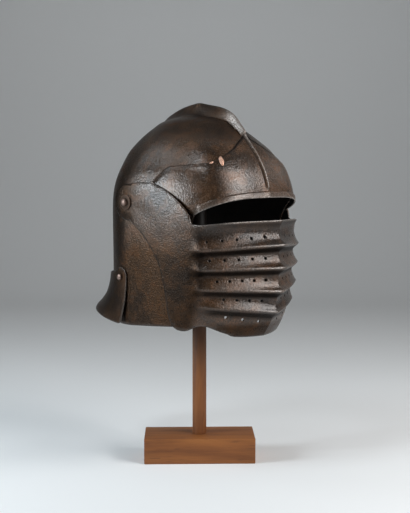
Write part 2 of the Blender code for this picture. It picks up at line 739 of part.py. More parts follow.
def brow_spot(height, distance):
    """A point of the brow plate's outer face and its normal, by height and distance from the middle line."""
    point = brow_point(distance, height)
    across = brow_point(distance + 1.0, height) - brow_point(distance - 1.0, height)
    up = brow_point(distance, height + 1.0) - brow_point(distance, height - 1.0)
    normal = across.cross(up).normalized()
    if normal.x > 0.0:
        normal.negate()
    return point + normal * (BROW_CLEARANCE + BROW_THICKNESS), normal


def make_brazes(material, parts):
    """Two low beads of copper where the brow's upper edge was brazed."""
    for braze in BRAZES:
        point, normal = brow_spot(braze.height, braze.distance)
        bpy.ops.mesh.primitive_uv_sphere_add(segments=12, ring_count=6, radius=0.5)
        bead = bpy.context.object
        bead.name = braze.name
        bead.data.name = braze.name
        bead.data.materials.append(material)
        for vert in bead.data.vertices:
            flat = max(vert.co.z, -0.18)
            vert.co = Vector((vert.co.x * braze.width, vert.co.y * braze.length, flat * BRAZE_THICKNESS)) * MM
        spin = Matrix.Rotation(math.radians(braze.lean), 4, "Z")
        turn = normal.to_track_quat("Z", "Y").to_matrix().to_4x4() @ spin
        turn.translation = (point + normal * (GAP + 0.3)) * MM
        bead.parent = bpy.data.objects["helmet_seat"]
        bead.matrix_local = turn
        for holder in list(bead.users_collection):
            holder.objects.unlink(bead)
        parts.objects.link(bead)


def make_stand(material, parts):
    bpy.ops.mesh.primitive_cube_add(size=1.0)
    block = bpy.context.object
    block.name = "stand_block"
    block.data.name = "stand_block"
    block.data.materials.append(material)
    for vert in block.data.vertices:
        vert.co = Vector((vert.co.x * BLOCK_LENGTH, vert.co.y * BLOCK_WIDTH, vert.co.z * BLOCK_HEIGHT)) * MM
    block.location = (0.0, 0.0, BLOCK_HEIGHT * 0.5 * MM)
    block.rotation_euler = (0.0, 0.0, BLOCK_TURN)
    edge = block.modifiers.new("edges", "BEVEL")
    edge.width = BLOCK_BEVEL * MM
    edge.segments = 2
    bpy.ops.mesh.primitive_cylinder_add(vertices=32, radius=POST_RADIUS * MM,
                                        depth=(POST_TOP - BLOCK_HEIGHT - GAP) * MM)
    post = bpy.context.object
    post.name = "stand_post"
    post.data.name = "stand_post"
    post.data.materials.append(material)
    post.location = (0.0, 0.0, 0.5 * (POST_TOP + BLOCK_HEIGHT + GAP) * MM)
    for obj in (block, post):
        for holder in list(obj.users_collection):
            holder.objects.unlink(obj)
        parts.objects.link(obj)


def main():
    clear_scene()
    parts = new_collection("armet")
    cutters = new_collection("cutters")
    cutters.hide_render = True
    add_seat(parts)
    steel = principled("russet_steel", (0.075, 0.055, 0.045), 0.42, 0.85)
    wood = principled("stand_wood", (0.42, 0.19, 0.08), 0.6, 0.0)
    bright = principled("rivet_steel", (0.16, 0.10, 0.07), 0.38, 0.9)
    copper = principled("brazing_copper", (0.55, 0.24, 0.13), 0.4, 0.9)
    skull = make_skull(steel, parts, cutters)
    make_brow(steel, parts, cutters)
    visor = make_visor(steel, parts, cutters)
    nape = make_nape(steel, parts, cutters)
    make_rivets(bright, parts)
    make_brazes(copper, parts)
    make_stand(wood, parts)
    visor_drill = rivet_hole_cutter("visor_rivet_holes", VISOR_RIVET, cutters)
    nape_drill = rivet_hole_cutter("nape_rivet_holes", NAPE_RIVET, cutters)
    add_boolean(visor, breath_hole_cutter(cutters), "DIFFERENCE")
    add_boolean(visor, visor_drill, "DIFFERENCE")
    add_boolean(skull, visor_drill, "DIFFERENCE")
    add_boolean(skull, nape_drill, "DIFFERENCE")
    add_boolean(nape, nape_drill, "DIFFERENCE")
    hinge_at(visor, VISOR_PIVOT)
    hinge_at(nape, NAPE_PIVOT)


main()
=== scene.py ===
import math
from collections import namedtuple
from functools import partial

import bmesh
import bpy
import numpy as np
from mathutils import Matrix, Vector


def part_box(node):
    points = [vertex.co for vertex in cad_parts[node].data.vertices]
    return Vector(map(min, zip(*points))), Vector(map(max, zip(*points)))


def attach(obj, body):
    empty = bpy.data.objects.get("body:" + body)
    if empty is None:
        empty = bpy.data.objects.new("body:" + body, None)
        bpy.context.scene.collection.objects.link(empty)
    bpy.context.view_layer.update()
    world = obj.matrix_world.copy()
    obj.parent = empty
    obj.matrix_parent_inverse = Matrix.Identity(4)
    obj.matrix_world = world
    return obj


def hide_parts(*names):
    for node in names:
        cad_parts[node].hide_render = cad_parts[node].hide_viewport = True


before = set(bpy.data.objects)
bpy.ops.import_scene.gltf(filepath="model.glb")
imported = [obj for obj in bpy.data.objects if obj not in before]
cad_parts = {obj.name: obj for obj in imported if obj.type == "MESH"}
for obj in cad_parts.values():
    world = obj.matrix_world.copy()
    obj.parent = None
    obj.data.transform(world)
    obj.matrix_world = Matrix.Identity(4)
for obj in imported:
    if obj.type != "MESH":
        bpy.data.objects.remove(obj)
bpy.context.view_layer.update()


# ---- The stand block -------------------------------------------------------------------------------
# A plain rectangular block of reddish hardwood, sawn, sanded and stained, its arrises just broken.
# The grain runs along its length.

MM = 0.001
ON_STAND = "helmet_on_stand"
BLOCK_LENGTH = 139.0
BLOCK_WIDTH = 60.0
BLOCK_HEIGHT = 32.0
BLOCK_TURN = math.radians(-45.0)
BLOCK_ARRIS = 1.0
WOOD_LIGHT = (0.33, 0.118, 0.028)
WOOD_DARK = (0.145, 0.045, 0.011)
WOOD_PORE = (0.07, 0.024, 0.010)
# Painted shade: near black wood higher up the post, where the helmet shades it.
WOOD_PAINTED_SHADE = (0.010, 0.006, 0.004)  # higher up the post, where the helmet hides it


def new_node(tree, kind, settings=None, inputs=None, output=0):
    """Adds a node from its type, its settings and its inputs by number, name or identifier."""
    node = tree.nodes.new(kind)
    for key, value in (settings or {}).items():
        setattr(node, key, value)
    feed(tree, node, inputs or {})
    return Value(tree, pick(node.outputs, output)) if node.outputs else node


def pick(sockets, key):
    return sockets[key] if isinstance(key, int) else next(s for s in sockets if key in (s.identifier, s.name))


def feed(tree, node, inputs):
    """Links or sets each input of a node."""
    for key, item in inputs.items():
        entry = pick(node.inputs, key)
        if isinstance(item, Value):
            tree.links.new(item.socket, entry)
        elif entry.type == "RGBA" and len(item) == 3:
            entry.default_value = (*item, 1.0)
        else:
            entry.default_value = item


class Value:
    """A node's socket that takes part in sums: each operator adds the Math node that works it out."""

    def __init__(self, tree, socket):
        self.tree = tree
        self.socket = socket

    def maths(self, operation, other, clamp=False):
        return new_node(self.tree, "ShaderNodeMath", {"operation": operation, "use_clamp": clamp}, {0: self, 1: other})

    def __add__(self, other):
        return self.maths("ADD", other)

    __radd__ = __add__

    def __sub__(self, other):
        return self.maths("SUBTRACT", other)

    def __rsub__(self, other):
        return self.maths("MULTIPLY", -1.0).maths("ADD", other)

    def __mul__(self, other):
        return self.maths("MULTIPLY", other)

    __rmul__ = __mul__

    def __truediv__(self, other):
        return self.maths("DIVIDE", other)

    def __rtruediv__(self, other):
        return self.maths("POWER", -1.0).maths("MULTIPLY", other)

    def __pow__(self, other):
        return self.maths("POWER", other)

    def limited(self):
        return self.maths("ADD", 0.0, clamp=True)

    def rise(self, low, high):
        """0 below low, 1 above high, and a smooth rise between."""
        return new_node(self.tree, "ShaderNodeMapRange", {"interpolation_type": "SMOOTHSTEP"},
                        {"Value": self, "From Min": low, "From Max": high})


class Finish:
    """A procedural finish, built node by node round one Principled shader."""

    def __init__(self, name):
        self.material = bpy.data.materials.new(name)
        self.material.use_nodes = True
        self.tree = self.material.node_tree
        self.tree.nodes.clear()
        self.shader = self.tree.nodes.new("ShaderNodeBsdfPrincipled")
        output = self.tree.nodes.new("ShaderNodeOutputMaterial")
        self.tree.links.new(self.shader.outputs["BSDF"], output.inputs["Surface"])
        self.place = self.node("ShaderNodeTexCoord", output="Object")

    def node(self, kind, settings=None, inputs=None, output=0):
        return new_node(self.tree, kind, settings, inputs, output)

    def mark(self, name):
        """A value that the mesh carries under this name."""
        return self.node("ShaderNodeAttribute", {"attribute_name": name}, output="Fac")

    def noise(self, scale, detail=3.0, roughness=0.5, place=None, distortion=0.0):
        return self.node("ShaderNodeTexNoise", None, {
            "Vector": place or self.place, "Scale": scale, "Detail": detail,
            "Roughness": roughness, "Distortion": distortion})

    def moved(self, location):
        return self.node("ShaderNodeMapping", None, {"Vector": self.place, "Location": location})

    def mixed(self, share, first, second):
        return self.node("ShaderNodeMix", {"data_type": "RGBA"},
                         {"Factor_Float": share, "A_Color": first, "B_Color": second}, "Result_Color")

    def bump(self, height, strength, distance):
        return self.node("ShaderNodeBump", None, {"Height": height, "Strength": strength, "Distance": distance})

    def set(self, **sockets):
        feed(self.tree, self.shader, {key.replace("_", " "): item for key, item in sockets.items()})
        return self.material


def wood_finish(name, location, rotation):
    """Stained hardwood whose grain runs along the piece's own X before it is turned into place, with painted shade that
    darkens it higher up.
    """
    finish = Finish(name)
    along = finish.node("ShaderNodeMapping", {"vector_type": "TEXTURE"}, {
        "Vector": finish.place, "Location": location, "Rotation": rotation})
    stretched = finish.node("ShaderNodeMapping", None, {"Vector": along, "Scale": (2.2, 30.0, 30.0)})
    fibres = finish.node("ShaderNodeMapping", None, {"Vector": along, "Scale": (14.0, 260.0, 260.0)})
    figure = finish.noise(1.5, 4.0, 0.55, stretched, 0.8)
    fine = finish.noise(1.6, 3.0, 0.6, fibres)
    pores = finish.noise(2.6, 2.0, 0.5, fibres, 0.2).rise(0.60, 0.72)
    mottle = finish.noise(18.0, 3.0)
    tone = (figure.rise(0.34, 0.68) * 0.62 + fine.rise(0.25, 0.8) * 0.38) * 0.9 + mottle * 0.1
    colour = finish.mixed(tone, WOOD_DARK, WOOD_LIGHT)
    colour = finish.mixed(pores * 0.55, colour, WOOD_PORE)
    # Painted shade: the wood darkens to near black higher up, where the helmet shades the post.
    height_above = finish.node("ShaderNodeSeparateXYZ", None, {"Vector": finish.place}, output="Z")
    colour = finish.mixed(height_above.rise(0.07, 0.22), colour, WOOD_PAINTED_SHADE)
    return finish.set(Base_Color=colour, Roughness=0.52 + fine * 0.16 - figure * 0.06,
                      Normal=finish.bump(fine * 0.6 - pores * 0.7, 0.30, 0.0003), Specular_IOR_Level=0.42)


def add_piece(name, mesh, *materials):
    """A finished piece of the object, at the origin, with its place in its mesh."""
    piece = bpy.data.objects.new(name, mesh)
    bpy.context.scene.collection.objects.link(piece)
    for material in materials:
        mesh.materials.append(material)
    return piece


def mesh_of(work, name, crease=180.0):
    """The finished mesh of a bmesh, shaded smooth except over edges sharper than the crease, in degrees."""
    work.normal_update()
    for face in work.faces:
        face.smooth = True
    for edge in work.edges:
        edge.smooth = not (edge.is_manifold and edge.calc_face_angle() > math.radians(crease))
    mesh = bpy.data.meshes.new(name)
    work.to_mesh(mesh)
    work.free()
    return mesh


work = bmesh.new()
bmesh.ops.create_cube(work, size=1.0)
bmesh.ops.scale(work, verts=work.verts, vec=Vector((BLOCK_LENGTH, BLOCK_WIDTH, BLOCK_HEIGHT)) * MM)
bmesh.ops.bevel(work, geom=work.edges[:], offset=BLOCK_ARRIS * MM, segments=3, profile=0.5, affect="EDGES")
bmesh.ops.rotate(work, verts=work.verts, cent=(0.0, 0.0, 0.0), matrix=Matrix.Rotation(BLOCK_TURN, 3, "Z"))
bmesh.ops.translate(work, verts=work.verts, vec=(0.0, 0.0, 0.5 * BLOCK_HEIGHT * MM))
block = add_piece("block", mesh_of(work, "block", 50.0),
                  wood_finish("block_wood", (0.0, 0.0, 0.016), (0.0, 0.0, BLOCK_TURN)))
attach(block, ON_STAND)
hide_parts("stand_block")


# ---- The post ---------------------------------------------------------------------------------------
# A turned dowel of the same wood, glued to the middle of the block. It goes up through the open neck, and
# its rounded top bears on the inside of the skull's crown.

POST_RADIUS = 8.8
POST_ROUND = 1.6
POST_BASE = BLOCK_HEIGHT + 0.3
post_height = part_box("stand_post")[1][2] / MM - POST_BASE

work = bmesh.new()
bmesh.ops.create_cone(work, cap_ends=True, segments=64, radius1=POST_RADIUS * MM, radius2=POST_RADIUS * MM,
                      depth=post_height * MM)
bmesh.ops.translate(work, verts=work.verts, vec=(0.0, 0.0, (POST_BASE + 0.5 * post_height) * MM))
top_edges = [e for e in work.edges if all(v.co.z > (POST_BASE + 0.5 * post_height) * MM for v in e.verts)]
bmesh.ops.bevel(work, geom=top_edges, offset=POST_ROUND * MM, segments=3, profile=0.5, affect="EDGES")
post = add_piece("post", mesh_of(work, "post", 50.0),
                 wood_finish("post_wood", (0.01, 0.02, 0.1), (0.0, math.radians(90.0), 0.4)))
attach(post, ON_STAND)
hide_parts("stand_post")


# ---- The skull --------------------------------------------------------------------------------------
# The bowl of the helmet, raised from one plate of steel, with a low comb pinched up along its top. Its
# front is cut away for the face. The steel was left dark from the fire and has browned with age.

SEAT_RISE = 5.0  # the helmet's own heights are told from this far above the foot of the stand
SKULL_THICKNESS = 1.8

# Half of a plate's outline at one height: how far forward its keel stands and at what slope in degrees, where its
# bow turns back, how wide it is and where, and how far back it reaches.
Section = namedtuple("Section", "height front keel bow_x bow_y half_width widest back")
SKULL_SECTIONS = (
    Section(170.0, 100.0, 10.0, 67.0, 72.0, 93.0, 30.0, 107.4),
    Section(235.0, 104.0, 10.0, 68.5, 75.0, 93.9, 30.0, 108.2),
    Section(290.0, 109.0, 10.0, 69.0, 83.0, 94.0, 30.0, 108.8),
    Section(318.0, 114.0, 9.0, 70.5, 91.5, 94.0, 30.0, 108.8),
    Section(335.0, 111.0, 8.0, 70.5, 89.5, 93.2, 28.0, 108.2),
    Section(350.0, 106.6, 8.0, 69.0, 85.5, 90.6, 24.0, 105.8),
    Section(365.0, 99.8, 7.0, 65.0, 80.0, 85.8, 18.0, 101.0),
    Section(384.0, 87.6, 6.0, 55.5, 69.0, 74.8, 12.0, 94.0),
    Section(399.0, 75.6, 5.0, 44.0, 54.5, 62.0, 8.0, 80.5),
    Section(411.0, 62.5, 4.0, 32.5, 41.0, 48.5, 4.0, 66.5),
    Section(422.0, 44.5, 4.0, 20.5, 27.5, 32.0, 0.0, 49.0),
    Section(431.5, 0.6, 4.0, 0.35, 0.45, 0.5, 0.0, 0.6),
)
CombPlace = namedtuple("CombPlace", "y height half_width")
COMB = (
    CombPlace(-74.0, 5.6, 4.2),
    CombPlace(-58.0, 9.6, 6.8),
    CombPlace(-35.0, 12.6, 9.2),
    CombPlace(-10.0, 12.0, 10.8),
    CombPlace(25.0, 12.2, 11.4),
    CombPlace(60.0, 5.4, 10.0),
    CombPlace(88.0, 1.4, 8.0),
    CombPlace(102.0, 0.0, 8.0),
)
COMB_TIP = 328.9  # y + z where the comb is cut off square in front
COMB_SHIFTS = (-9.0, -4.5, 0.0, 4.5, 9.0)  # the table is averaged over these, so that the comb has no corners
SKULL_RIM = ((-170.0, 180.0), (-50.0, 178.4), (27.0, 173.6), (170.0, 173.6))
SKULL_OPENING = ((-160.0, 334.0), (-112.0, 333.0), (-90.0, 326.0), (-74.0, 314.0), (-66.0, 300.0),
                 (-58.0, 270.0), (-52.0, 240.0), (-48.0, 210.0), (-47.0, 160.0), (-160.0, 160.0))

BLACK_STEEL = (0.021, 0.0125, 0.0080)
BROWN_STEEL = (0.081, 0.0405, 0.0185)
RUST_STEEL = (0.125, 0.050, 0.018)
# The last two colours also paint light and shade: the bare steel lightens painted highlights along with the rubbed
# edges, and the near black darkens painted shade as well as soot, pits and scale.
WORN_AND_SHEEN_STEEL = (0.32, 0.285, 0.26)
SOOT_AND_SHADE = (0.006, 0.005, 0.0045)


def smoothstep(value):
    t = np.clip(value, 0.0, 1.0)
    return t * t * (3.0 - 2.0 * t)


def near(distance, width):
    """1 at no distance, and a smooth fall within about this width to either side."""
    return np.exp(-(distance / width) ** 2)


def spline(rows, places):
    """Every column of a table at places between its rows, on a smooth curve through them."""
    table = np.array(rows, float)
    places = np.asarray(places, float)
    first = np.clip(places.astype(int), 0, len(table) - 2)
    t = (places - first)[..., None]
    a, b, c, d = (table[np.clip(first + step, 0, len(table) - 1)] for step in (-1, 0, 1, 2))
    return 0.5 * (2 * b + (c - a) * t + (2 * a - 5 * b + 4 * c - d) * t ** 2 + (3 * b - a - 3 * c + d) * t ** 3)


class Wall:
    """A plate's plain outer face, read by distance from the middle of its front and by height, in mm."""

    def __init__(self, rows, levels=900, across=700):
        if rows[0].height > rows[-1].height:
            rows = rows[::-1]
        places = np.linspace(0.0, len(rows) - 1.0, levels)
        height, front, keel, bow_x, bow_y, half_width, widest, back = spline(rows, places).T
        self.heights = np.maximum.accumulate(height + np.arange(levels) * 1e-9)
        zero = np.zeros(levels)
        corner = [np.stack(pair, 1) for pair in ((zero, -front), (-bow_x, -bow_y), (-half_width, widest), (zero, back))]
        reach = 0.36 * np.linalg.norm(corner[1] - corner[0], axis=1)[:, None]
        keel = np.radians(keel)
        square = math.sqrt(0.5) * np.array([-1.0, 1.0])
        turn = (0.7 * (half_width - bow_x))[:, None]
        flat = 0.375 * (widest + bow_y)
        round_y = 0.5523 * (back - widest)
        round_x = 0.5523 * half_width
        runs = (
            (corner[0], corner[0] + reach * np.stack((-np.cos(keel), np.sin(keel)), 1), corner[1] - reach * square,
             corner[1]),
            (corner[1], corner[1] + turn * np.array([-1.0, 1.0]), corner[2] - np.stack((zero, flat), 1), corner[2]),
            (corner[2], corner[2] + np.stack((zero, round_y), 1), corner[3] - np.stack((round_x, zero), 1), corner[3]),
        )
        t = np.linspace(0.0, 1.0, 60)[None, :, None]
        points = []
        for a, b, c, d in runs:
            a, b, c, d = (p[:, None, :] for p in (a, b, c, d))
            curve = (1 - t) ** 3 * a + 3 * (1 - t) ** 2 * t * b + 3 * (1 - t) * t * t * c + t ** 3 * d
            points.append(curve if not points else curve[:, 1:])
        points = np.concatenate(points, 1)
        steps = np.linalg.norm(np.diff(points, axis=1), axis=2)
        travelled = np.concatenate((np.zeros((levels, 1)), np.cumsum(steps, 1)), 1)
        self.lengths = travelled[:, -1]
        shares = np.linspace(0.0, 1.0, across)
        self.plan = np.empty((levels, across, 2))
        for level in range(levels):
            for axis in (0, 1):
                self.plan[level, :, axis] = np.interp(shares * self.lengths[level], travelled[level],
                                                      points[level, :, axis])
        self.plan[:, 0, 0] = 0.0

    def length(self, z):
        return np.interp(z, self.heights, self.lengths)

    def at(self, s, z):
        s, z = np.broadcast_arrays(np.asarray(s, float), np.asarray(z, float))
        level = np.interp(z, self.heights, np.arange(len(self.heights)))
        low = np.clip(level.astype(int), 0, len(self.heights) - 2)
        share = np.clip(s / np.maximum(self.length(z), 1e-6), 0.0, 1.0) * (self.plan.shape[1] - 1)
        left = np.clip(share.astype(int), 0, self.plan.shape[1] - 2)
        v = (level - low)[..., None]
        u = (share - left)[..., None]
        flat = ((1 - v) * ((1 - u) * self.plan[low, left] + u * self.plan[low, left + 1])
                + v * ((1 - u) * self.plan[low + 1, left] + u * self.plan[low + 1, left + 1]))
        return np.concatenate((flat, z[..., None]), -1)

    def normals(self, s, z, step=0.6):
        """The outward normal of the plain face."""
        length = self.length(z)
        across = self.at(np.minimum(s + step, length), z) - self.at(np.maximum(s - step, 0.0), z)
        across = np.where((s < step)[..., None], np.array([-1.0, 0.0, 0.0]), across)
        across = np.where((s > length - step)[..., None], np.array([1.0, 0.0, 0.0]), across)
        share = s / np.maximum(length, 1e-6)
        high = np.minimum(z + step, self.heights[-1])
        low = np.maximum(z - step, self.heights[0])
        up = self.at(share * self.length(high), high) - self.at(share * self.length(low), low)
        normal = np.cross(up, across)
        normal /= np.maximum(np.linalg.norm(normal, axis=-1, keepdims=True), 1e-9)
        return normal


def hammering(points, size, seed):
    """The slow unevenness that the hammer leaves, in parts of one, as a sum of long waves."""
    random = np.random.default_rng(seed)
    total = np.zeros(points.shape[:-1])
    for _ in range(9):
        way = random.normal(size=3)
        way /= np.linalg.norm(way) * size * random.uniform(0.6, 1.7) / math.tau
        total += np.sin(points @ way + random.uniform(0.0, math.tau))
    return total / 9.0 ** 0.5 * 0.7


def line_distance(points, run):
    """The side-view distance from points to an open run of (y, z) points, in mm."""
    y, z = points[..., 1], points[..., 2]
    nearest = np.full(y.shape, 1e9)
    for (ay, az), (by, bz) in zip(run, run[1:]):
        t = ((y - ay) * (by - ay) + (z - az) * (bz - az)) / max((by - ay) ** 2 + (bz - az) ** 2, 1e-12)
        t = np.clip(t, 0.0, 1.0)
        nearest = np.minimum(nearest, np.hypot(y - ay - t * (by - ay), z - az - t * (bz - az)))
    return nearest


def outline_depth(points, outline):
    """How far side-view points lie inside a closed outline, in mm; less than nought outside."""
    y, z = points[..., 1], points[..., 2]
    closed = list(outline) + [outline[0]]
    inside = np.zeros(y.shape, bool)
    for (ay, az), (by, bz) in zip(closed, closed[1:]):
        if bz != az:
            inside ^= ((az > z) != (bz > z)) & (y < ay + (z - az) * (by - ay) / (bz - az))
    return np.where(inside, 1.0, -1.0) * line_distance(points, closed)


def rounded(points, steps=4):
    """A smooth run through side-view points."""
    count = (len(points) - 1) * steps
    return [tuple(p) for p in spline(points, np.linspace(0.0, len(points) - 1.0, count + 1))]


def sheared(s, z, face, depth):
    """Cuts a grid of places (s, z) where depth(face(s, z)) falls below nought, as a plate is sheared to a line.
    Corners that lie near the line are slid onto it first. Returns the places and the faces between them."""
    grid = np.stack((s, z), -1)
    inside = depth(face(grid[..., 0], grid[..., 1]))
    for axis in (0, 1):
        a = (slice(None, -1), slice(None)) if axis == 0 else (slice(None), slice(None, -1))
        b = (slice(1, None), slice(None)) if axis == 0 else (slice(None), slice(1, None))
        crossing = inside[a] * inside[b] < 0.0
        share = np.where(crossing, inside[a] / np.where(crossing, inside[a] - inside[b], 1.0), 0.5)
        for end, near in ((a, crossing & (share < 0.34)), (b, crossing & (share > 0.66))):
            moved = grid[a] + (grid[b] - grid[a]) * share[..., None]
            grid[end][near] = moved[near]
            inside[end][near] = 0.0
    rows, columns = inside.shape
    number = np.arange(rows * columns).reshape(rows, columns)
    quads = np.stack((number[:-1, :-1], number[:-1, 1:], number[1:, 1:], number[1:, :-1]), -1).reshape(-1, 4)
    values = inside.ravel()[quads]
    whole = (values.min(1) >= 0.0) & (values.max(1) > 0.0)
    cut = (values.min(1) < 0.0) & (values.max(1) > 0.0)
    places = [tuple(p) for p in grid.reshape(-1, 2)]
    faces = [tuple(q) for q in quads[whole]]
    made = {}
    flat = inside.ravel()
    for quad in quads[cut]:
        loop = []
        for here, after in zip(quad, np.roll(quad, -1)):
            if flat[here] >= 0.0:
                loop.append(here)
            if flat[here] * flat[after] < 0.0:
                key = (min(here, after), max(here, after))
                if key not in made:
                    t = flat[here] / (flat[here] - flat[after])
                    p, q = places[here], places[after]
                    made[key] = len(places)
                    places.append((p[0] + (q[0] - p[0]) * t, p[1] + (q[1] - p[1]) * t))
                loop.append(made[key])
        if len(loop) > 2:
            faces.append(tuple(loop))
    used = sorted({corner for loop in faces for corner in loop})
    renumber = {old: new for new, old in enumerate(used)}
    kept = np.array([places[old] for old in used])
    return kept, [tuple(renumber[c] for c in loop) for loop in faces]


def plate_mesh(name, s, z, face, depth, marks, closed_above=None):
    """A plate as an open surface, sheared from a grid of places and raised to its face: the right half and its mirror
    image, with values marked at each corner. What is left open above a height in mm is drawn together to a point."""
    places, faces = sheared(s, z, face, depth)
    points = face(places[:, 0], places[:, 1])
    points[np.abs(points[:, 0]) < 1e-3, 0] = 0.0
    count = len(points)
    both = np.concatenate((points, points * np.array([-1.0, 1.0, 1.0])))
    both[:, 2] += SEAT_RISE
    mirrored = [tuple(c + count for c in reversed(loop)) for loop in faces]
    mesh = bpy.data.meshes.new(name)
    mesh.from_pydata((both * MM).tolist(), [], faces + mirrored)
    for key, values in marks(places, points).items():
        layer = mesh.attributes.new(key, "FLOAT", "POINT")
        layer.data.foreach_set("value", np.concatenate((values, values)).astype(np.float32))
    work = bmesh.new()
    work.from_mesh(mesh)
    bmesh.ops.remove_doubles(work, verts=work.verts, dist=5e-6)
    bmesh.ops.dissolve_degenerate(work, edges=work.edges, dist=5e-6)
    bmesh.ops.recalc_face_normals(work, faces=work.faces)
    side = max(work.faces, key=lambda f: abs(f.calc_center_median().x))
    if side.normal.x * side.calc_center_median().x < 0.0:
        bmesh.ops.reverse_faces(work, faces=work.faces)
    for loop in work.faces:
        loop.smooth = True
    if closed_above:
        crown = [v for v in work.verts if v.is_boundary and v.co.z > closed_above * MM]
        pole = sum((v.co for v in crown), Vector()) / len(crown)
        bmesh.ops.pointmerge(work, verts=crown, merge_co=(0.0, pole.y, max(v.co.z for v in crown)))
    work.to_mesh(mesh)
    work.free()
    return mesh


def finished(piece):
    """Works the modifiers into the mesh."""
    graph = bpy.context.evaluated_depsgraph_get()
    mesh = bpy.data.meshes.new_from_object(piece.evaluated_get(graph))
    piece.modifiers.clear()
    old = piece.data
    piece.data = mesh
    bpy.data.meshes.remove(old)
    return piece


def walled(name, mesh, steel, thickness, thinned_by=None):
    """The piece that an open plate makes when it gets its thickness, inwards from its face."""
    piece = add_piece(name, mesh, steel, steel_inside)
    wall = piece.modifiers.new("plate", "SOLIDIFY")
    wall.thickness = thickness * MM
    wall.offset = -1.0
    wall.use_even_offset = True
    wall.use_quality_normals = True
    wall.material_offset = 1
    if thinned_by:
        shares = np.empty(len(piece.data.vertices), np.float32)
        piece.data.attributes[thinned_by].data.foreach_get("value", shares)
        group = piece.vertex_groups.new(name=thinned_by)
        for index, share in enumerate(shares):
            group.add((index,), float(share), "REPLACE")
        wall.vertex_group = group.name
    return finished(piece)


def steel_finish(name, warmth, seed):
    """Old steel browned all over: fine pits, a soft grey sheen, warmer where the brown has grown thick. Its marks also
    paint shade, darker, rougher and more metal-like, and paint highlights, lighter like rubbed steel.
    """
    finish = Finish(name)
    place = finish.moved((seed, 0.37 * seed, 0.71 * seed))
    clouds = finish.noise(15.0, 4.0, 0.55, place)
    patches = finish.noise(70.0, 5.0, 0.62, place, 0.4)
    grain = finish.noise(560.0, 1.6, 0.55, place)
    specks = finish.noise(1400.0, 2.0, 0.6, place)
    pits = finish.node("ShaderNodeTexVoronoi", None, {"Vector": place, "Scale": 400.0})
    pit = (1.0 - pits.rise(0.08, 0.42)) * grain.rise(0.42, 0.58)
    wear, patina, dirt = (finish.mark(name) for name in ("wear", "patina", "dirt"))
    brown = (clouds.rise(0.36, 0.64) * 0.6 + patches.rise(0.33, 0.68) * 0.4 + patina * 0.2 + (warmth - 0.5)).limited()
    colour = finish.mixed(brown, BLACK_STEEL, BROWN_STEEL)
    rusty = patches.rise(0.44, 0.66) * grain.rise(0.38, 0.62) * brown
    colour = finish.mixed(rusty * 0.8, colour, RUST_STEEL)
    colour = finish.mixed(specks.rise(0.55, 0.74) * 0.30, colour, WORN_AND_SHEEN_STEEL)
    # Rubbed edges and crests lighten towards bare steel, and so do the painted highlights on the comb's flanks and the
    # brow's ridge.
    rubbed_and_sheen = (wear * (0.45 + grain * 0.7)).limited()
    colour = finish.mixed(rubbed_and_sheen * 0.32 + rubbed_and_sheen ** 3.0 * 0.68, colour, WORN_AND_SHEEN_STEEL)
    # Pits, dirt and the dark patina darken towards black, and so does the painted shade in creases, gaps, undercuts and
    # on the parts turned from the lights.
    colour = finish.mixed((pit * 0.85 + dirt * (0.7 + patches * 0.3) + patina * 0.46).limited(), colour, SOOT_AND_SHADE)
    # Painted shade is also made rougher and more metal-like, so that it shows less grey sheen.
    rough = 0.25 + (grain - 0.5) * 0.16 + rusty * 0.20 + patina * 0.14 + dirt * 0.35 - rubbed_and_sheen * 0.04
    metallic = 0.25 + patina * 0.70 + dirt * 0.7
    return finish.set(Base_Color=colour, Metallic=metallic.limited(), Roughness=rough.limited(),
                      Specular_IOR_Level=0.62, Normal=finish.bump(grain + specks * 0.05 - pit * 0.20, 0.50, 0.0009))


def inside_finish(name):
    """The inside of a plate, never polished: black scale from the fire with a little dry rust, kept near black, which
    also paints the shade inside the helmet and in the breath holes.
    """
    finish = Finish(name)
    scale = finish.noise(90.0, 5.0, 0.6)
    dust = finish.noise(500.0, 3.0, 0.6)
    colour = finish.mixed(scale.rise(0.42, 0.7) * dust.rise(0.3, 0.7), SOOT_AND_SHADE, (0.014, 0.008, 0.005))
    return finish.set(Base_Color=colour, Specular_IOR_Level=0.2, Roughness=0.70 + dust * 0.2,
                      Normal=finish.bump(scale + dust * 0.4, 0.4, 0.0005))


def comb_lift(points):
    """How far the skull rises at a point for its comb: crisp at its foot in front, and softer further back."""
    x, y, z = np.abs(points[..., 0]), points[..., 1], points[..., 2]
    ys, heights, half_widths = zip(*COMB)
    height, half_width = (sum(np.interp(y + shift, ys, column) for shift in COMB_SHIFTS) / len(COMB_SHIFTS)
                          for column in (heights, half_widths))
    softness = 1.0 + 0.75 * smoothstep((y + 45.0) / 80.0)
    tent = np.clip(1.0 - x / (half_width * (0.72 + 0.28 * softness)), 0.0, 1.0) ** softness
    return np.where(y + z < COMB_TIP, 0.0, height * tent)


skull_wall = Wall(SKULL_SECTIONS)


def skull_dents(points):
    return 0.30 * hammering(points, 62.0, 3)


def skull_face(s, z):
    plain = skull_wall.at(s, z)
    return plain + skull_wall.normals(s, z) * (comb_lift(plain) + skull_dents(plain))[..., None]


def below_rim(points):
    rim = np.array(SKULL_RIM)
    return points[..., 2] - np.interp(points[..., 1], rim[:, 0], rim[:, 1])


opening = [SKULL_OPENING[0]] + rounded(SKULL_OPENING[1:9], 4) + [SKULL_OPENING[9]]


def skull_depth(points):
    return np.minimum(below_rim(points), -outline_depth(points, opening))


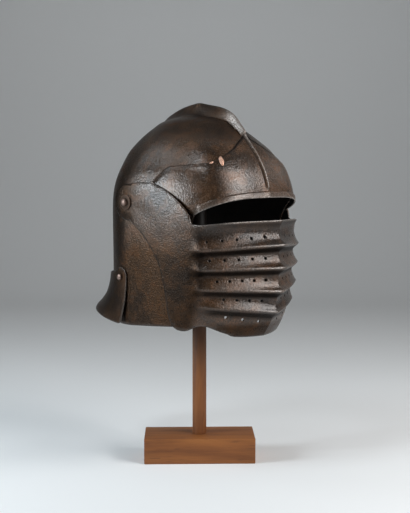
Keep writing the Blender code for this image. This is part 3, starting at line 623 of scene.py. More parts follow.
def skull_marks(places, points):
    x, y, z = np.abs(points[:, 0]), points[:, 1], points[:, 2]
    rim = 1.3 * np.exp(-np.clip(below_rim(points), 0.0, 30.0) / 1.3)
    crest = near(x, 1.6) * (y + z > COMB_TIP) * (z > 330.0) * smoothstep((95.0 - y) / 30.0)
    lift = comb_lift(points)
    # The front of the comb's flanks is lightened: partly rubbed steel, partly a painted highlight for the sheen of the
    # light above.
    flank_sheen = smoothstep(lift / 1.5) * smoothstep((-34.0 - y) / 26.0)
    # Darker and browner low down, towards the back and over the top of the crown: partly patina, partly painted shade
    # on the parts turned from the lights.
    patina = np.maximum(smoothstep((318.0 - z) / 60.0), smoothstep((y - 5.0) / 45.0))
    patina = np.maximum(patina, 0.8 * smoothstep((z - 388.0) / 22.0) * (1.0 - flank_sheen))
    # Painted shade: a crisp dark line along the foot of the comb in front, where the crease is shaded.
    foot = 0.9 * (lift > 0.01) * smoothstep((0.9 - lift) / 0.5) * smoothstep((-34.0 - y) / 22.0)
    return {"wear": np.clip(rim + 0.6 * crest + flank_sheen, 0.0, 1.0), "patina": patina, "dirt": foot}


# Rows lie closer together over the crown, and a pair of them stands at the comb's square end.
tip_level = np.interp(COMB_TIP, skull_wall.heights + skull_wall.plan[:, 0, 1], skull_wall.heights)
skull_levels = np.concatenate((np.arange(171.0, 340.0, 2.8), np.arange(340.0, 400.0, 2.0), np.arange(400.0, 424.0, 1.2),
                               np.arange(424.0, 429.6, 0.6), np.arange(429.6, 431.3, 0.24), [431.42]))
skull_levels = skull_levels[np.abs(skull_levels - tip_level) > 0.8]
skull_levels = np.sort(np.append(skull_levels, (tip_level - 0.12, tip_level + 0.12)))
skull_s = []
for level in skull_levels:
    length = float(skull_wall.length(level))
    comb = np.linspace(0.0, min(16.0, 0.22 * length), 17)
    skull_s.append(np.concatenate((comb[:-1], np.linspace(comb[-1], length - comb[-1], 92), length - comb[-2::-1])))
skull_s = np.array(skull_s)
skull_z = np.repeat(skull_levels[:, None], skull_s.shape[1], 1)
skull_mesh = plate_mesh("skull_plate", skull_s, skull_z, skull_face, skull_depth, skull_marks, closed_above=430.0)
steel_inside = inside_finish("steel_inside")
skull = walled("skull_plate", skull_mesh, steel_finish("skull_steel", 0.5, 0.0), SKULL_THICKNESS)
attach(skull, ON_STAND)
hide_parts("skull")


# ---- The brow plate ---------------------------------------------------------------------------------
# A second plate brazed over the front of the skull. A thin ridge carries the comb's line down it, and a
# raised band borders the sight. Its upper edge is thinned, so that it lies almost flush.

BROW_THICKNESS = 1.6
BROW_CLEARANCE = 0.65
BROW_CUT = 328.0  # y + z along the square cut where the brow meets the comb
BROW_TOP = ((-77.3, 396.8), (-80.3, 391.3), (-83.2, 385.4), (-84.2, 380.6), (-84.0, 376.4), (-81.8, 373.6),
            (-78.4, 369.6), (-69.4, 368.8), (-58.4, 367.8), (-46.1, 366.8), (-32.0, 365.6), (-26.0, 362.4),
            (-9.4, 347.6))
BROW_ARM_EDGE = ((-19.6, 343.6), (-39.4, 334.8), (-54.4, 325.2), (-65.2, 315.4), (-70.4, 309.2))
BROW_RIM = ((-77.0, 312.6), (-87.0, 317.2), (-99.0, 322.8), (-109.0, 327.2), (-117.0, 329.2), (-150.0, 329.4))
RIDGE_HALF_WIDTH = 3.4
RIDGE_HEIGHT = 2.6
RIDGE_FOOT_Z = 335.5
RIDGE_FADE = 7.0
RIM_WIDTH = 8.0
RIM_HEIGHT = 1.4
FEATHER = 7.0  # how far from its upper edge the plate starts to thin
FEATHERED = 0.25  # the share of its thickness that is left at that edge
RUBBED_EDGE = 1.2  # how far in from an edge hands have brightened the steel


def fullness(points, run, width, least):
    """The share of its whole thickness that a plate has, which falls to the least on the run that it is thinned to."""
    return 1.0 - (1.0 - least) * (1.0 - smoothstep(line_distance(points, run) / width))


brow_top = [(-120.0, BROW_CUT + 120.0), (-74.8, BROW_CUT + 74.8)] + list(BROW_TOP)
brow_outline = (brow_top + rounded(BROW_ARM_EDGE, 4)[:-1] + rounded((BROW_ARM_EDGE[-1],) + BROW_RIM, 4))
rim_run = np.array((BROW_ARM_EDGE[-1],) + BROW_RIM)
brow_depth = partial(outline_depth, outline=brow_outline)
brow_fullness = partial(fullness, run=brow_top[2:], width=FEATHER, least=FEATHERED)


def rim_height(y):
    return np.interp(-y, -rim_run[:, 0], rim_run[:, 1])


def brow_lift(points):
    """The ridge, and the band along the lower edge."""
    foot = smoothstep((points[..., 2] - RIDGE_FOOT_Z) / RIDGE_FADE)
    share = np.abs(points[..., 0]) / (RIDGE_HALF_WIDTH * (0.45 + 0.55 * foot))
    ridge = RIDGE_HEIGHT * foot * np.clip(1.0 - share, 0.0, 1.0) ** 1.15
    within = rim_height(points[..., 1]) + RIM_WIDTH - points[..., 2]
    band = RIM_HEIGHT * smoothstep(within / 1.5 + 0.5) * smoothstep((-73.0 - points[..., 1]) / 6.0)
    return np.maximum(ridge, band)


def brow_face(s, z):
    plain = skull_wall.at(s, z)
    lift = BROW_CLEARANCE + BROW_THICKNESS * brow_fullness(plain) + brow_lift(plain) + skull_dents(plain)
    return plain + skull_wall.normals(s, z) * lift[..., None]


def brow_marks(places, points):
    x, z = np.abs(points[:, 0]), points[:, 2]
    foot = smoothstep((z - RIDGE_FOOT_Z) / RIDGE_FADE)
    # The ridge is lightened along its crest and widely near its top: partly rubbed steel, partly a painted highlight on
    # the flank that faces the light.
    ridge = 1.2 * near(x, 1.2 + 1.2 * np.exp((z - 398.0) / 9.0)) * foot
    # Painted shadow: a thin dark line along the brow's upper edge, in the gap where it stands off the skull, and
    # painted shade along the foot of the ridge.
    seam = smoothstep((0.9 - line_distance(points, brow_top[1:8])) / 0.5) * smoothstep((66.0 - places[:, 0]) / 10.0)
    ridge_foot_shade = 0.8 * near(x - 3.2, 0.6) * foot
    band = (rim_height(points[:, 1]) + RIM_WIDTH - z) / RIM_WIDTH
    band = smoothstep(band * 3.0) * smoothstep((-70.0 - points[:, 1]) / 8.0) * 0.35
    sight = np.exp(-brow_depth(points) / RUBBED_EDGE) * (points[:, 1] < -70.0) * (z < 345.0)
    return {"wear": np.clip(sight + ridge + band, 0.0, 1.0), "dirt": np.maximum(seam, ridge_foot_shade),
            "fullness": brow_fullness(points)}


brow_s = np.concatenate((np.linspace(0.0, 4.0, 11), np.arange(4.9, 80.0, 1.0), np.arange(80.0, 172.0, 1.8)))
rim = np.full(brow_s.shape, 325.0)
for _ in range(6):
    rim = rim_height(skull_wall.at(brow_s, rim)[:, 1])
steps = np.concatenate((np.arange(-16.0, -1.0, 2.5), np.arange(-1.0, RIM_WIDTH - 1.0, 1.0),
                        np.arange(RIM_WIDTH - 1.0, RIM_WIDTH + 1.2, 0.4), [RIM_WIDTH + 2.0]))
brow_z = rim[None, :] + steps[:, None]
upper = np.linspace(0.0, 1.0, 72)[1:, None]
brow_z = np.concatenate((brow_z, brow_z[-1:] + (410.0 - brow_z[-1:]) * upper))
brow_grid = np.repeat(brow_s[None, :], len(brow_z), 0)
brow_grid = np.minimum(brow_grid, 0.97 * skull_wall.length(brow_z))
brow_mesh = plate_mesh("brow_plate_raised", brow_grid, brow_z, brow_face, brow_depth, brow_marks)
brow = walled("brow_plate_raised", brow_mesh, steel_finish("brow_steel", 0.42, 3.1), BROW_THICKNESS, "fullness")
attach(brow, ON_STAND)
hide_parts("brow_plate")


# ---- The brazing copper -----------------------------------------------------------------------------
# Two small beads of copper on the brow's upper edge, on the right side, where the plate was brazed down.
# They froze as uneven drops, a little flattened, and have dulled to a warm pink-brown.

Braze = namedtuple("Braze", "name node height distance length width lean")
BRAZES = (
    Braze("copper_bead_large", "braze_spot_large", 370.6, 53.8, 12.4, 5.4, 3.0),
    Braze("copper_bead_small", "braze_spot_small", 369.0, 66.0, 5.0, 2.4, -56.0),
)
BRAZE_THICKNESS = 1.1
BRAZE_SETTING = 0.30  # how far the middle of a bead stands off the plate
COPPER_LIGHT = (0.86, 0.56, 0.43)
COPPER_DARK = (0.34, 0.14, 0.07)

copper = Finish("brazing_copper_dull")
skin = copper.noise(420.0, 4.0, 0.6)
lumps = copper.noise(900.0, 3.0, 0.6)
copper.set(Base_Color=copper.mixed(skin.rise(0.34, 0.62), COPPER_DARK, COPPER_LIGHT), Metallic=0.75,
           Roughness=0.36 + skin * 0.2, Normal=copper.bump(skin + lumps * 0.5, 0.35, 0.0003))
for braze in BRAZES:
    place = brow_face(np.array([braze.distance]), np.array([braze.height]))[0]
    outwards = Vector(skull_wall.normals(np.array([braze.distance]), np.array([braze.height]))[0])
    work = bmesh.new()
    bmesh.ops.create_icosphere(work, subdivisions=4, radius=0.5)
    for vert in work.verts:
        uneven = 1.0 + 0.16 * float(hammering(np.array(vert.co) * 10.0, 7.0, 11))
        flat = max(vert.co.z, -0.3)
        vert.co = Vector((vert.co.x * braze.width * uneven, vert.co.y * braze.length * uneven,
                          flat * BRAZE_THICKNESS * uneven)) * MM
    turn = outwards.to_track_quat("Z", "Y").to_matrix().to_4x4()
    turn = turn @ Matrix.Rotation(math.radians(braze.lean), 4, "Z")
    turn.translation = (Vector(place) + outwards * BRAZE_SETTING + Vector((0.0, 0.0, SEAT_RISE))) * MM
    bmesh.ops.transform(work, matrix=turn, verts=work.verts)
    bead = add_piece(braze.name, mesh_of(work, braze.name, 60.0), copper.material)
    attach(bead, ON_STAND)
    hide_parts(braze.node)


# ---- The nape plate ---------------------------------------------------------------------------------
# A flared tail that guards the back of the neck, raised from one plate. A lobe at each side hangs it on
# a rivet, so that it can swing up a little.

NAPE_THICKNESS = 1.4
NAPE_SECTIONS = [Section(height, 104.0, 10.0, 68.5, 75.0, *sides) for height, *sides in (
    (248.0, 95.7, 34.0, 111.0),
    (236.0, 95.8, 34.0, 111.6),
    (222.0, 95.9, 35.0, 114.4),
    (208.0, 96.3, 36.0, 122.5),
    (196.0, 97.0, 37.0, 136.5),
    (187.0, 97.8, 38.0, 150.0),
    (176.0, 98.3, 38.0, 156.0),
    (164.0, 98.8, 38.0, 159.0),
)]
NAPE_PIVOT = (42.0, 231.6)
NAPE_TOP = ((51.0, 239.4), (60.0, 236.2), (80.0, 233.8), (110.0, 232.8), (170.0, 232.2))
NAPE_RIM = ((170.0, 190.0), (150.0, 188.4), (115.0, 183.6), (80.0, 178.6), (41.5, 174.2))
NAPE_FRONT = ((37.4, 182.0), (34.6, 194.0), (31.8, 209.0), (30.6, 226.0))
LOBE_RADIUS = 11.6


def arc(centre, radius, start, end, steps):
    """Side-view points round a centre, by angle in degrees from +Y towards +Z."""
    angles = np.radians(np.linspace(start, end, steps + 1))
    return [(centre[0] + radius * math.cos(a), centre[1] + radius * math.sin(a)) for a in angles]


nape_wall = Wall(NAPE_SECTIONS)
nape_outline = (rounded(NAPE_TOP, 2) + rounded(NAPE_RIM, 3) + rounded(NAPE_FRONT, 4)[:-1]
                + arc(NAPE_PIVOT, LOBE_RADIUS, 192.0, 62.0, 18))
nape_depth = partial(outline_depth, outline=nape_outline)


def nape_face(s, z):
    plain = nape_wall.at(s, z)
    return plain + nape_wall.normals(s, z) * (0.18 * hammering(plain, 48.0, 8))[..., None]


def nape_marks(places, points):
    # The whole plate is marked dark: partly patina, partly painted shade on the back of the helmet.
    return {"wear": np.exp(-nape_depth(points) / RUBBED_EDGE), "patina": np.ones(len(points))}


nape_levels = np.arange(165.0, 247.0, 1.7)
nape_z = np.repeat(nape_levels[:, None], 110, 1)
nape_s = nape_wall.length(nape_levels)[:, None] * np.linspace(0.40, 1.0, 110)[None, :]
nape_mesh = plate_mesh("nape_tail", nape_s, nape_z, nape_face, nape_depth, nape_marks)
nape = walled("nape_tail", nape_mesh, steel_finish("nape_steel", 0.36, 5.7), NAPE_THICKNESS)
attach(nape, "nape_plate")
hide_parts("nape_plate")


# ---- The visor --------------------------------------------------------------------------------------
# One plate over the lower face. Four bellows folds are raised across its front and die out into smooth
# cheeks, and a broad arm at each side reaches back to the pivot. Rows of breath holes pierce it.

VISOR_THICKNESS = 1.5
VISOR_SECTIONS = (
    Section(156.0, 100.0, 7.0, 67.5, 66.0, 92.0, 36.0, 108.0),
    Section(166.0, 106.5, 9.0, 70.5, 69.0, 93.4, 36.0, 108.0),
    Section(178.0, 114.4, 13.0, 74.8, 72.6, 94.6, 36.0, 108.0),
    Section(190.0, 120.4, 20.0, 78.0, 75.8, 95.4, 36.0, 108.0),
    Section(205.0, 124.8, 25.0, 80.2, 78.4, 96.0, 36.0, 108.0),
    Section(230.0, 128.2, 25.0, 81.8, 80.4, 96.2, 36.0, 108.0),
    Section(258.0, 129.0, 25.0, 83.0, 81.6, 96.3, 36.0, 108.0),
    Section(284.0, 128.8, 24.0, 83.8, 82.6, 96.6, 38.0, 108.0),
    Section(302.0, 130.4, 24.0, 84.9, 84.1, 97.0, 42.0, 108.0),
    Section(325.0, 130.4, 24.0, 84.9, 84.1, 97.5, 44.0, 108.0),
    Section(356.0, 130.4, 24.0, 84.9, 84.1, 97.4, 44.0, 108.0),
)
VISOR_PIVOT = (28.4, 322.6)
ARM_END_RADIUS = 21.6
SLIT_CORNER = (-72.6, 299.8)
VISOR_TOP = ((-160.0, 305.6), (-132.0, 303.4), (-114.0, 302.2), (-97.0, 300.0), (-84.0, 298.4), SLIT_CORNER)
VISOR_ARM = ((-71.8, 304.0), (-70.0, 309.4), (-65.0, 316.6), (-54.0, 326.6), (-39.0, 336.2), (-19.0, 344.6),
             (-2.0, 347.2), (14.0, 346.2))
VISOR_CHEEK = ((24.6, 301.6), (13.6, 294.8), (3.4, 286.6), (-5.2, 277.4), (-12.8, 268.4), (-19.0, 259.6),
               (-24.2, 250.6), (-28.2, 239.6), (-31.4, 226.0), (-34.6, 208.0), (-36.6, 190.0), (-39.6, 181.0))
VISOR_CHIN = ((-44.0, 176.0), (-51.0, 174.0), (-58.0, 174.6), (-66.0, 178.0), (-73.0, 181.2), (-80.0, 179.4),
              (-90.0, 170.8), (-100.0, 165.4), (-160.0, 162.8))
Fold = namedtuple("Fold", "keel_z end_z keel_height end_height fade")
FOLDS = (
    Fold(275.0, 269.8, 11.6, 7.2, 112.0),
    Fold(248.2, 248.4, 10.4, 7.0, 112.0),
    Fold(220.4, 226.4, 9.2, 6.4, 107.0),
    Fold(195.4, 206.0, 7.0, 4.8, 101.0),
)
UNDERCUT = 0.36
FOLD_FADE = 27.0
TOP_PITCH = 27.0
LAST_PITCH = 24.0
VISOR_LIP_Z = 302.6
LIP_HEIGHT = 2.6
LIP_DEPTH = 9.0
ARM_FEATHER = 8.0  # how far from the arm's edge the plate starts to thin
ARM_FEATHERED = 0.2
HoleRow = namedtuple("HoleRow", "keel_z end_z first step count")
HOLE_ROWS = (
    HoleRow(285.4, 279.0, 19.0, 17.6, 5),
    HoleRow(259.6, 258.0, 17.6, 17.0, 5),
    HoleRow(233.6, 234.3, 16.6, 15.0, 5),
    HoleRow(208.0, 215.0, 19.0, 16.0, 4),
    HoleRow(181.6, 198.0, 17.6, 21.6, 3),
)
HOLE_REACH = 100.0
HOLE_SEEN_RADIUS = 1.568  # a little wider than the drilled 1.4, as its edge has worn
DRILL_LENGTH = 12.0
PIVOT_DRILL_X = 96.0

visor_wall = Wall(VISOR_SECTIONS)
arm_end = arc(VISOR_PIVOT, ARM_END_RADIUS, 84.0, -100.0, 36)
visor_outline = rounded(VISOR_TOP, 5) + rounded(VISOR_ARM, 5) + arm_end + rounded(VISOR_CHEEK + VISOR_CHIN, 4)[1:]
thin_edge = rounded(VISOR_ARM[5:], 2) + arm_end[::3]
visor_depth = partial(outline_depth, outline=visor_outline)
visor_fullness = partial(fullness, run=thin_edge, width=ARM_FEATHER, least=ARM_FEATHERED)


def fold_place(fold, s):
    """Height of a fold's crest and how far it stands out, at a distance from the keel."""
    share = np.minimum(1.0, s / fold.fade)
    height = fold.keel_height + (fold.end_height - fold.keel_height) * smoothstep(share * 1.6)
    fading = 1.0 - smoothstep((s - fold.fade + FOLD_FADE) / FOLD_FADE)
    return fold.keel_z + (fold.end_z - fold.keel_z) * share, height * fading


def bellows(s, z):
    """How far the visor stands out for its folds: a long slope down to each crest and a short turn under it."""
    crests = [fold_place(fold, s) for fold in FOLDS]
    lift = np.zeros(np.broadcast(s, z).shape)
    above = crests[0][0] + TOP_PITCH
    for index, (crest_z, out) in enumerate(crests):
        below = crests[index + 1][0] if index + 1 < len(crests) else crest_z - LAST_PITCH
        trough = UNDERCUT * (crest_z - below)
        under = out * (1.0 - smoothstep((crest_z - z) / trough) ** 0.9)
        slope = (1.0 - UNDERCUT) * (above - crest_z)
        over = out * np.clip(1.0 - (z - crest_z) / slope, 0.0, 1.0) ** (1.8 + 1.4 * near(s, 24.0))
        lift = np.maximum(lift, np.where(z <= crest_z, under, over))
        above = crest_z
    return lift


def level_outwards(s, z):
    """The level direction out of the plain visor wall."""
    along = visor_wall.at(s + 0.5, z) - visor_wall.at(np.maximum(s - 0.5, 0.0), z)
    outwards = np.stack((-along[..., 1], along[..., 0], np.zeros(along.shape[:-1])), -1)
    outwards /= np.linalg.norm(outwards, axis=-1, keepdims=True)
    flip = np.sum(outwards[..., :2] * visor_wall.at(s, z)[..., :2], -1) < 0.0
    outwards = np.where(flip[..., None], -outwards, outwards)
    return np.where((s < 1e-6)[..., None], np.array([0.0, -1.0, 0.0]), outwards)


def visor_face(s, z):
    plain = visor_wall.at(s, z)
    lip = LIP_HEIGHT * smoothstep((z - VISOR_LIP_Z + LIP_DEPTH) / LIP_DEPTH)
    lip = lip * (1.0 - smoothstep((s - 90.0) / 14.0))
    lift = bellows(s, z) + lip + 0.16 * hammering(plain, 40.0, 21)
    lift = lift - VISOR_THICKNESS * (1.0 - visor_fullness(plain))
    return plain + level_outwards(s, z) * lift[..., None]


def visor_marks(places, points):
    s, z = places[:, 0], places[:, 1]
    edge = np.exp(-visor_depth(points) / RUBBED_EDGE)
    arm, cheek = (points[:, 1] > -71.0) & (z > 303.0), (points[:, 1] > -42.0) & (z <= 303.0)
    crest, dirt = np.zeros(len(s)), np.zeros(len(s))
    brighter_in_front = 0.5 + 0.5 * near(s, 22.0)
    for fold in FOLDS:
        crest_z, out = fold_place(fold, s)
        full = np.clip(out / 5.0, 0.0, 1.0)
        crest = np.maximum(crest, near(z - crest_z, 0.9) * full * brighter_in_front)
        # A dark band under each crest: dirt caught under the fold, and painted shade where the fold turns under, away
        # from the light.
        under = smoothstep((crest_z - z - 1.2) / 2.5) * smoothstep((z - crest_z + 11.0) / 4.0)
        dirt = np.maximum(dirt, 0.95 * full * under)
    # A dark band under the lip too: dirt, and painted shade under its overhang.
    below_lip = smoothstep((z - VISOR_LIP_Z + 12.0) / 10.0) * smoothstep((VISOR_LIP_Z - 1.2 - z) / 1.5)
    dirt = np.maximum(dirt, 0.6 * full * below_lip)
    # Darker over the back of the cheeks, under the chin and at the back of the arm: partly patina, partly painted shade
    # on the parts turned from the lights.
    patina = np.maximum(smoothstep((312.0 - z) / 55.0) * smoothstep((s - 88.0) / 16.0),
                        np.maximum(smoothstep((186.0 - z) / 8.0), smoothstep((points[:, 1] - 2.0) / 30.0)))
    wear = edge * np.where(arm, 0.1, np.where(cheek, 0.45, 1.4)) + crest
    return {"wear": np.clip(wear, 0.0, 1.0), "dirt": dirt, "patina": patina, "fullness": visor_fullness(points)}


visor_s = np.concatenate(([0.0, 0.6, 1.4, 2.6], np.arange(4.2, 118.0, 1.9), np.arange(119.0, 236.0, 2.2)))
crests = [fold_place(fold, visor_s)[0] for fold in FOLDS]
runs = [(np.full(visor_s.shape, 356.0), 18), (np.full(visor_s.shape, VISOR_LIP_Z + 2.5), 8),
        (crests[0] + (1.0 - UNDERCUT) * TOP_PITCH, 9)]
for crest_z, below in zip(crests, crests[1:] + [crests[-1] - LAST_PITCH]):
    runs += [(crest_z, 7), (crest_z - UNDERCUT * (crest_z - below), 9)]
runs += [(np.full(visor_s.shape, 157.0), 1)]
visor_z = np.concatenate([top + (after - top) * (np.arange(count) / count)[:, None]
                          for (top, count), (after, _) in zip(runs, runs[1:])] + [runs[-1][0][None, :]])
visor_grid = np.repeat(visor_s[None, :], len(visor_z), 0)
visor_mesh = plate_mesh("visor_plate", visor_grid, visor_z, visor_face, visor_depth, visor_marks)
visor = walled("visor_plate", visor_mesh, steel_finish("visor_steel", 0.34, 9.3), VISOR_THICKNESS, "fullness")


def copying_tree(name, entries, shape):
    """A Geometry Nodes tree that sets a copy of one shape at each place, faced outwards, as real geometry."""
    tree = bpy.data.node_groups.new(name, "GeometryNodeTree")
    tree.is_modifier = True
    entries = (("Geometry", "NodeSocketGeometry"),) + entries + (("Material", "NodeSocketMaterial"),)
    for label, kind in entries:
        tree.interface.new_socket(label, in_out="INPUT", socket_type=kind)
    tree.interface.new_socket("Geometry", in_out="OUTPUT", socket_type="NodeSocketGeometry")
    group_in = tree.nodes.new("NodeGroupInput")
    given = {label: Value(tree, group_in.outputs[label]) for label, _ in entries}
    way = new_node(tree, "GeometryNodeInputNamedAttribute", {"data_type": "FLOAT_VECTOR"}, {"Name": "outwards"})
    aim = new_node(tree, "FunctionNodeAlignEulerToVector", {"axis": "Z"}, {"Vector": way})
    copies = new_node(tree, "GeometryNodeInstanceOnPoints", None, {
        "Points": given["Geometry"], "Instance": shape(tree, given), "Rotation": aim})
    real = new_node(tree, "GeometryNodeRealizeInstances", None, {"Geometry": copies})
    painted = new_node(tree, "GeometryNodeSetMaterial", None, {"Geometry": real, "Material": given["Material"]})
    new_node(tree, "NodeGroupOutput", None, {"Geometry": painted})
    return tree


def copies_at(name, points, outwards, tree, values):
    """A piece made of the tree's copies at bare points in mm, each with the direction that it faces."""
    mesh = bpy.data.meshes.new(name)
    mesh.from_pydata((np.array(points) * MM).tolist(), [], [])
    layer = mesh.attributes.new("outwards", "FLOAT_VECTOR", "POINT")
    layer.data.foreach_set("vector", np.array(outwards, np.float32).ravel())
    piece = add_piece(name, mesh)
    copying = piece.modifiers.new("copies", "NODES")
    copying.node_group = tree
    for entry in tree.interface.items_tree:
        if entry.in_out == "INPUT" and entry.name in values:
            copying[entry.identifier] = values[entry.name]
    return finished(piece)


# Every drill stands on its hole's place and points along the plate's level outward direction.
drill_tree = copying_tree(
    "breath_hole_drills", (("Hole radius", "NodeSocketFloat"), ("Drill length", "NodeSocketFloat")),
    lambda tree, given: new_node(tree, "GeometryNodeMeshCylinder", None, {
        "Vertices": 20, "Radius": given["Hole radius"], "Depth": given["Drill length"]}))
points, ways = [], []
for row in HOLE_ROWS:
    s = row.first + row.step * np.arange(row.count)
    z = row.keel_z + (row.end_z - row.keel_z) * s / HOLE_REACH
    for centre, outwards in zip(visor_face(s, z), level_outwards(s, z)):
        for side in (1.0, -1.0):
            points.append((centre[0] * side, centre[1], centre[2] + SEAT_RISE))
            ways.append((outwards[0] * side, outwards[1], outwards[2]))
for side in (1.0, -1.0):
    points.append((side * PIVOT_DRILL_X, VISOR_PIVOT[0], VISOR_PIVOT[1] + SEAT_RISE))
    ways.append((side, 0.0, 0.0))
# The holes' walls take the near-black inside finish, which paints the shade within them.
drills = copies_at("breath_hole_drills", points, ways, drill_tree, {
    "Hole radius": HOLE_SEEN_RADIUS * MM, "Drill length": DRILL_LENGTH * MM, "Material": steel_inside})
holes = visor.modifiers.new("breath_holes", "BOOLEAN")
holes.object = drills
holes.solver = "EXACT"
finished(visor)
bpy.data.objects.remove(drills)
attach(visor, "visor")
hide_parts("visor")


# ---- The rivets and washers -------------------------------------------------------------------------
# A domed steel rivet on a dark washer makes the visor's pivot at each side, and a smaller one holds each
# lobe of the nape plate. The heads were filed round and have rubbed warm and bright on top.

Rivet = namedtuple("Rivet", "pivot face_x head_radius head_height shank_radius length burr_radius")
VISOR_RIVET = Rivet(VISOR_PIVOT, 99.5, 5.0, 3.4, 2.6, 8.75, 4.6)
NAPE_RIVET = Rivet(NAPE_PIVOT, 96.2, 4.2, 2.4, 2.0, 7.2, 3.4)
BURR_HEIGHT = 1.5
WASHER_FACE_X = 97.85
WASHER_RADIUS = 9.0
WASHER_THICKNESS = 1.3
WASHER_HOLE = VISOR_RIVET.shank_radius + 0.35


def rivet_finish(name, seed, dark, light, worn_from, worn_to):
    """Filed steel, browned, and rubbed lighter towards its outer face, which a wear value marks."""
    finish = Finish(name)
    place = finish.moved((seed, seed, seed))
    mottle = finish.noise(260.0, 4.0, 0.6, place)
    grain = finish.noise(1400.0, 3.0, 0.6, place)
    wear = finish.mark("wear")
    rubbed_and_sheen = (wear.rise(worn_from, worn_to) * (0.55 + mottle * 0.7)).limited()
    colour = finish.mixed(mottle.rise(0.3, 0.7), BLACK_STEEL, BROWN_STEEL)
    colour = finish.mixed(rubbed_and_sheen, finish.mixed(mottle.rise(0.35, 0.65), colour, dark), light)
    return finish.set(Base_Color=colour, Metallic=0.7, Roughness=0.5 - rubbed_and_sheen * 0.14 + grain * 0.12,
                      Normal=finish.bump(mottle + grain * 0.6, 0.3, 0.0003))


def turned(name, profile, steps, wear):
    """A solid turned from a closed run of (radius, height) points in mm, with a wear value at each."""
    work = bmesh.new()
    verts = [work.verts.new((radius * MM, 0.0, height * MM)) for radius, height in profile]
    edges = [work.edges.new(pair) for pair in zip(verts, verts[1:])]
    if profile[0][0] > 0.0:
        edges.append(work.edges.new((verts[-1], verts[0])))
    bmesh.ops.spin(work, geom=verts + edges, cent=(0.0, 0.0, 0.0), axis=(0.0, 0.0, 1.0),
                   angle=math.tau, steps=steps, use_merge=False)
    bmesh.ops.remove_doubles(work, verts=work.verts, dist=2e-6)
    bmesh.ops.recalc_face_normals(work, faces=work.faces)
    mesh = mesh_of(work, name, 42.0)
    layer = mesh.attributes.new("wear", "FLOAT", "POINT")
    for vert, entry in zip(mesh.vertices, layer.data):
        entry.value = wear(math.hypot(vert.co.x, vert.co.y) / MM, vert.co.z / MM)
    return mesh


def rivet_profile(rivet):
    """A domed head with its lip turned under, a plain shank and a peened end."""
    dome = [(rivet.head_radius * math.sin(math.radians(a)), rivet.head_height * math.cos(math.radians(a)) ** 0.9)
            for a in range(0, 86, 6)]
    end = -rivet.length
    return dome + [(rivet.head_radius, 0.12), (rivet.head_radius - 0.15, 0.0), (rivet.shank_radius, 0.0),
                   (rivet.shank_radius, end), (rivet.burr_radius - 0.2, end), (rivet.burr_radius, end - 0.3),
                   (rivet.burr_radius - 0.6, end - 0.8 * BURR_HEIGHT), (0.45 * rivet.burr_radius, end - BURR_HEIGHT),
                   (0.0, end - BURR_HEIGHT)]


def rivet_mesh(name, rivet, steps):
    return turned(name, rivet_profile(rivet), steps, lambda radius, height: max(0.0, height) / rivet.head_height)


washer_profile = [(WASHER_HOLE, WASHER_THICKNESS), (WASHER_RADIUS - 1.0, WASHER_THICKNESS),
                  (WASHER_RADIUS - 0.35, WASHER_THICKNESS - 0.12), (WASHER_RADIUS, WASHER_THICKNESS - 0.5),
                  (WASHER_RADIUS, 0.0), (WASHER_HOLE, 0.0)]
rivet_steel = rivet_finish("rivet_steel_rubbed", 1.7, (0.085, 0.047, 0.033), (0.25, 0.17, 0.14), 0.35, 1.0)
washer_steel = rivet_finish("washer_steel", 4.2, (0.030, 0.017, 0.011), (0.14, 0.085, 0.06), 0.5, 1.0)
FASTENINGS = (
    ("pivot_rivets", VISOR_RIVET.pivot, VISOR_RIVET.face_x, rivet_steel,
     ("visor_rivet_right", "visor_rivet_left"), rivet_mesh("pivot_rivet", VISOR_RIVET, 40)),
    ("pivot_washers", VISOR_PIVOT, WASHER_FACE_X, washer_steel,
     ("visor_washer_right", "visor_washer_left"),
     turned("pivot_washer", washer_profile, 56, lambda radius, height: smoothstep((radius - 7.0) / 2.0))),
    ("nape_rivets", NAPE_RIVET.pivot, NAPE_RIVET.face_x, rivet_steel,
     ("nape_rivet_right", "nape_rivet_left"), rivet_mesh("nape_rivet", NAPE_RIVET, 36)),
)
fastening_tree = copying_tree(
    "fastenings", (("Piece", "NodeSocketObject"),),
    lambda tree, given: new_node(tree, "GeometryNodeObjectInfo", None, {"Object": given["Piece"]}, "Geometry"))
for name, pivot, face_x, finish, nodes, mesh in FASTENINGS:
    pattern = add_piece(name + "_pattern", mesh)
    pair = copies_at(name, [(side * face_x, pivot[0], pivot[1] + SEAT_RISE) for side in (-1.0, 1.0)],
                     [(side, 0.0, 0.0) for side in (-1.0, 1.0)], fastening_tree, {"Piece": pattern, "Material": finish})
    bpy.data.objects.remove(pattern)
    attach(pair, ON_STAND)
    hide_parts(*nodes)


# ---- The floor, the light and the camera ------------------------------------------------------------
# A pale seamless sweep, small soft boxes round the helmet on both sides, a long one that lights the sweep
# behind it, and a long lens.

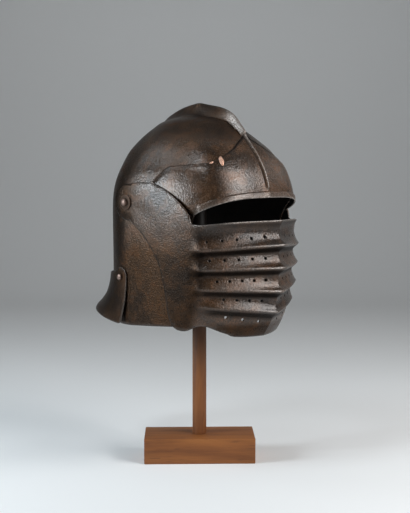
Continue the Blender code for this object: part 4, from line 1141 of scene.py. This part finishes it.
CAMERA_DISTANCE = 1.250
CAMERA_HEIGHT = 0.372
CAMERA_AZIMUTH = math.radians(46.0)
CAMERA_PITCH = math.atan(0.0915)
CAMERA_YAW = math.radians(0.325)
LENS_ANGLE = 2.0 * math.atan(0.2565)
SWEEP_BEND = 1.4  # how far behind the helmet the sweep starts to rise
SWEEP_RADIUS = 0.8
SWEEP_HALF_WIDTH = 4.0
LIGHT_DISTANCE = 1.1
LIGHT_AIM_HEIGHT = 0.30
ROOM_LIGHT = 0.02
COOL = (0.83, 0.93, 1.0)
PLAIN = (1.0, 1.0, 1.0)
SoftBox = namedtuple("SoftBox", "name power side left up colour")  # its angles are from the camera's, in degrees
SOFT_BOXES = (
    SoftBox("left_box", 9.0, 0.34, 71.0, 10.5, COOL),
    SoftBox("high_left_box", 1.2, 0.34, 94.0, 44.0, COOL),
    SoftBox("top_box", 3.2, 0.26, 42.0, 54.0, COOL),
    SoftBox("right_box", 5.4, 0.36, -70.0, 29.0, PLAIN),
    SoftBox("low_right_box", 4.0, 0.34, -50.0, 12.0, PLAIN),
    SoftBox("high_right_box", 2.2, 0.34, -50.0, 40.0, PLAIN),
    SoftBox("far_right_box", 0.4, 0.34, -119.0, 24.0, PLAIN),
)

forward = np.array([math.sin(CAMERA_AZIMUTH), math.cos(CAMERA_AZIMUTH)])
sideways = np.array([math.cos(CAMERA_AZIMUTH), -math.sin(CAMERA_AZIMUTH)])
bend = [(SWEEP_BEND + SWEEP_RADIUS * math.sin(a), SWEEP_RADIUS - SWEEP_RADIUS * math.cos(a))
        for a in np.radians(np.linspace(5.0, 90.0, 18))]
profile = [(-3.0, 0.0), (SWEEP_BEND, 0.0)] + bend + [(SWEEP_BEND + SWEEP_RADIUS, 4.0)]
points = [(*(forward * run + sideways * side), height)
          for side in (-SWEEP_HALF_WIDTH, SWEEP_HALF_WIDTH) for run, height in profile]
count = len(profile)
floor_mesh = bpy.data.meshes.new("sweep")
floor_mesh.from_pydata(points, [], [(i, i + 1, count + i + 1, count + i) for i in range(count - 1)])
for polygon in floor_mesh.polygons:
    polygon.use_smooth = True
sweep_finish = Finish("sweep_paper")
sweep_finish.set(Base_Color=(0.84, 0.84, 0.835), Roughness=0.9)
sweep = add_piece("sweep", floor_mesh, sweep_finish.material)


def soft_light(name, power, size, colour, location, away):
    """A soft box at a place, which faces away from a direction."""
    data = bpy.data.lights.new(name, "AREA")
    data.shape = "RECTANGLE"
    data.size, data.size_y = size
    data.energy = power
    data.color = colour
    light = bpy.data.objects.new(name, data)
    bpy.context.scene.collection.objects.link(light)
    light.location = location
    light.rotation_euler = away.to_track_quat("Z", "Y").to_euler()


for box in SOFT_BOXES:
    turn, climb = CAMERA_AZIMUTH + math.pi + math.radians(box.left), math.radians(box.up)
    away = Vector((math.sin(turn) * math.cos(climb), math.cos(turn) * math.cos(climb), math.sin(climb)))
    soft_light(box.name, box.power, (box.side, box.side), box.colour,
               away * LIGHT_DISTANCE + Vector((0.0, 0.0, LIGHT_AIM_HEIGHT)), away)
soft_light("backdrop_light", 5.6, (3.0, 0.6), PLAIN, (forward[0] * 0.7, forward[1] * 0.7, 2.2),
           Vector((-forward[0] * 1.3, -forward[1] * 1.3, 1.6)))
world = bpy.data.worlds.new("room")
bpy.context.scene.world = world
world.use_nodes = True
world.node_tree.nodes["Background"].inputs["Color"].default_value = (1.0, 1.0, 1.0, 1.0)
world.node_tree.nodes["Background"].inputs["Strength"].default_value = ROOM_LIGHT

lens = bpy.data.cameras.new("camera")
lens.sensor_fit = "VERTICAL"
lens.angle = LENS_ANGLE
camera = bpy.data.objects.new("camera", lens)
bpy.context.scene.collection.objects.link(camera)
camera.location = (-CAMERA_DISTANCE * math.sin(CAMERA_AZIMUTH), -CAMERA_DISTANCE * math.cos(CAMERA_AZIMUTH),
                   CAMERA_HEIGHT)
camera.rotation_euler = (math.radians(90.0) - CAMERA_PITCH, 0.0, -CAMERA_AZIMUTH - CAMERA_YAW)
bpy.context.scene.camera = camera
bpy.context.scene.view_settings.view_transform = "Standard"
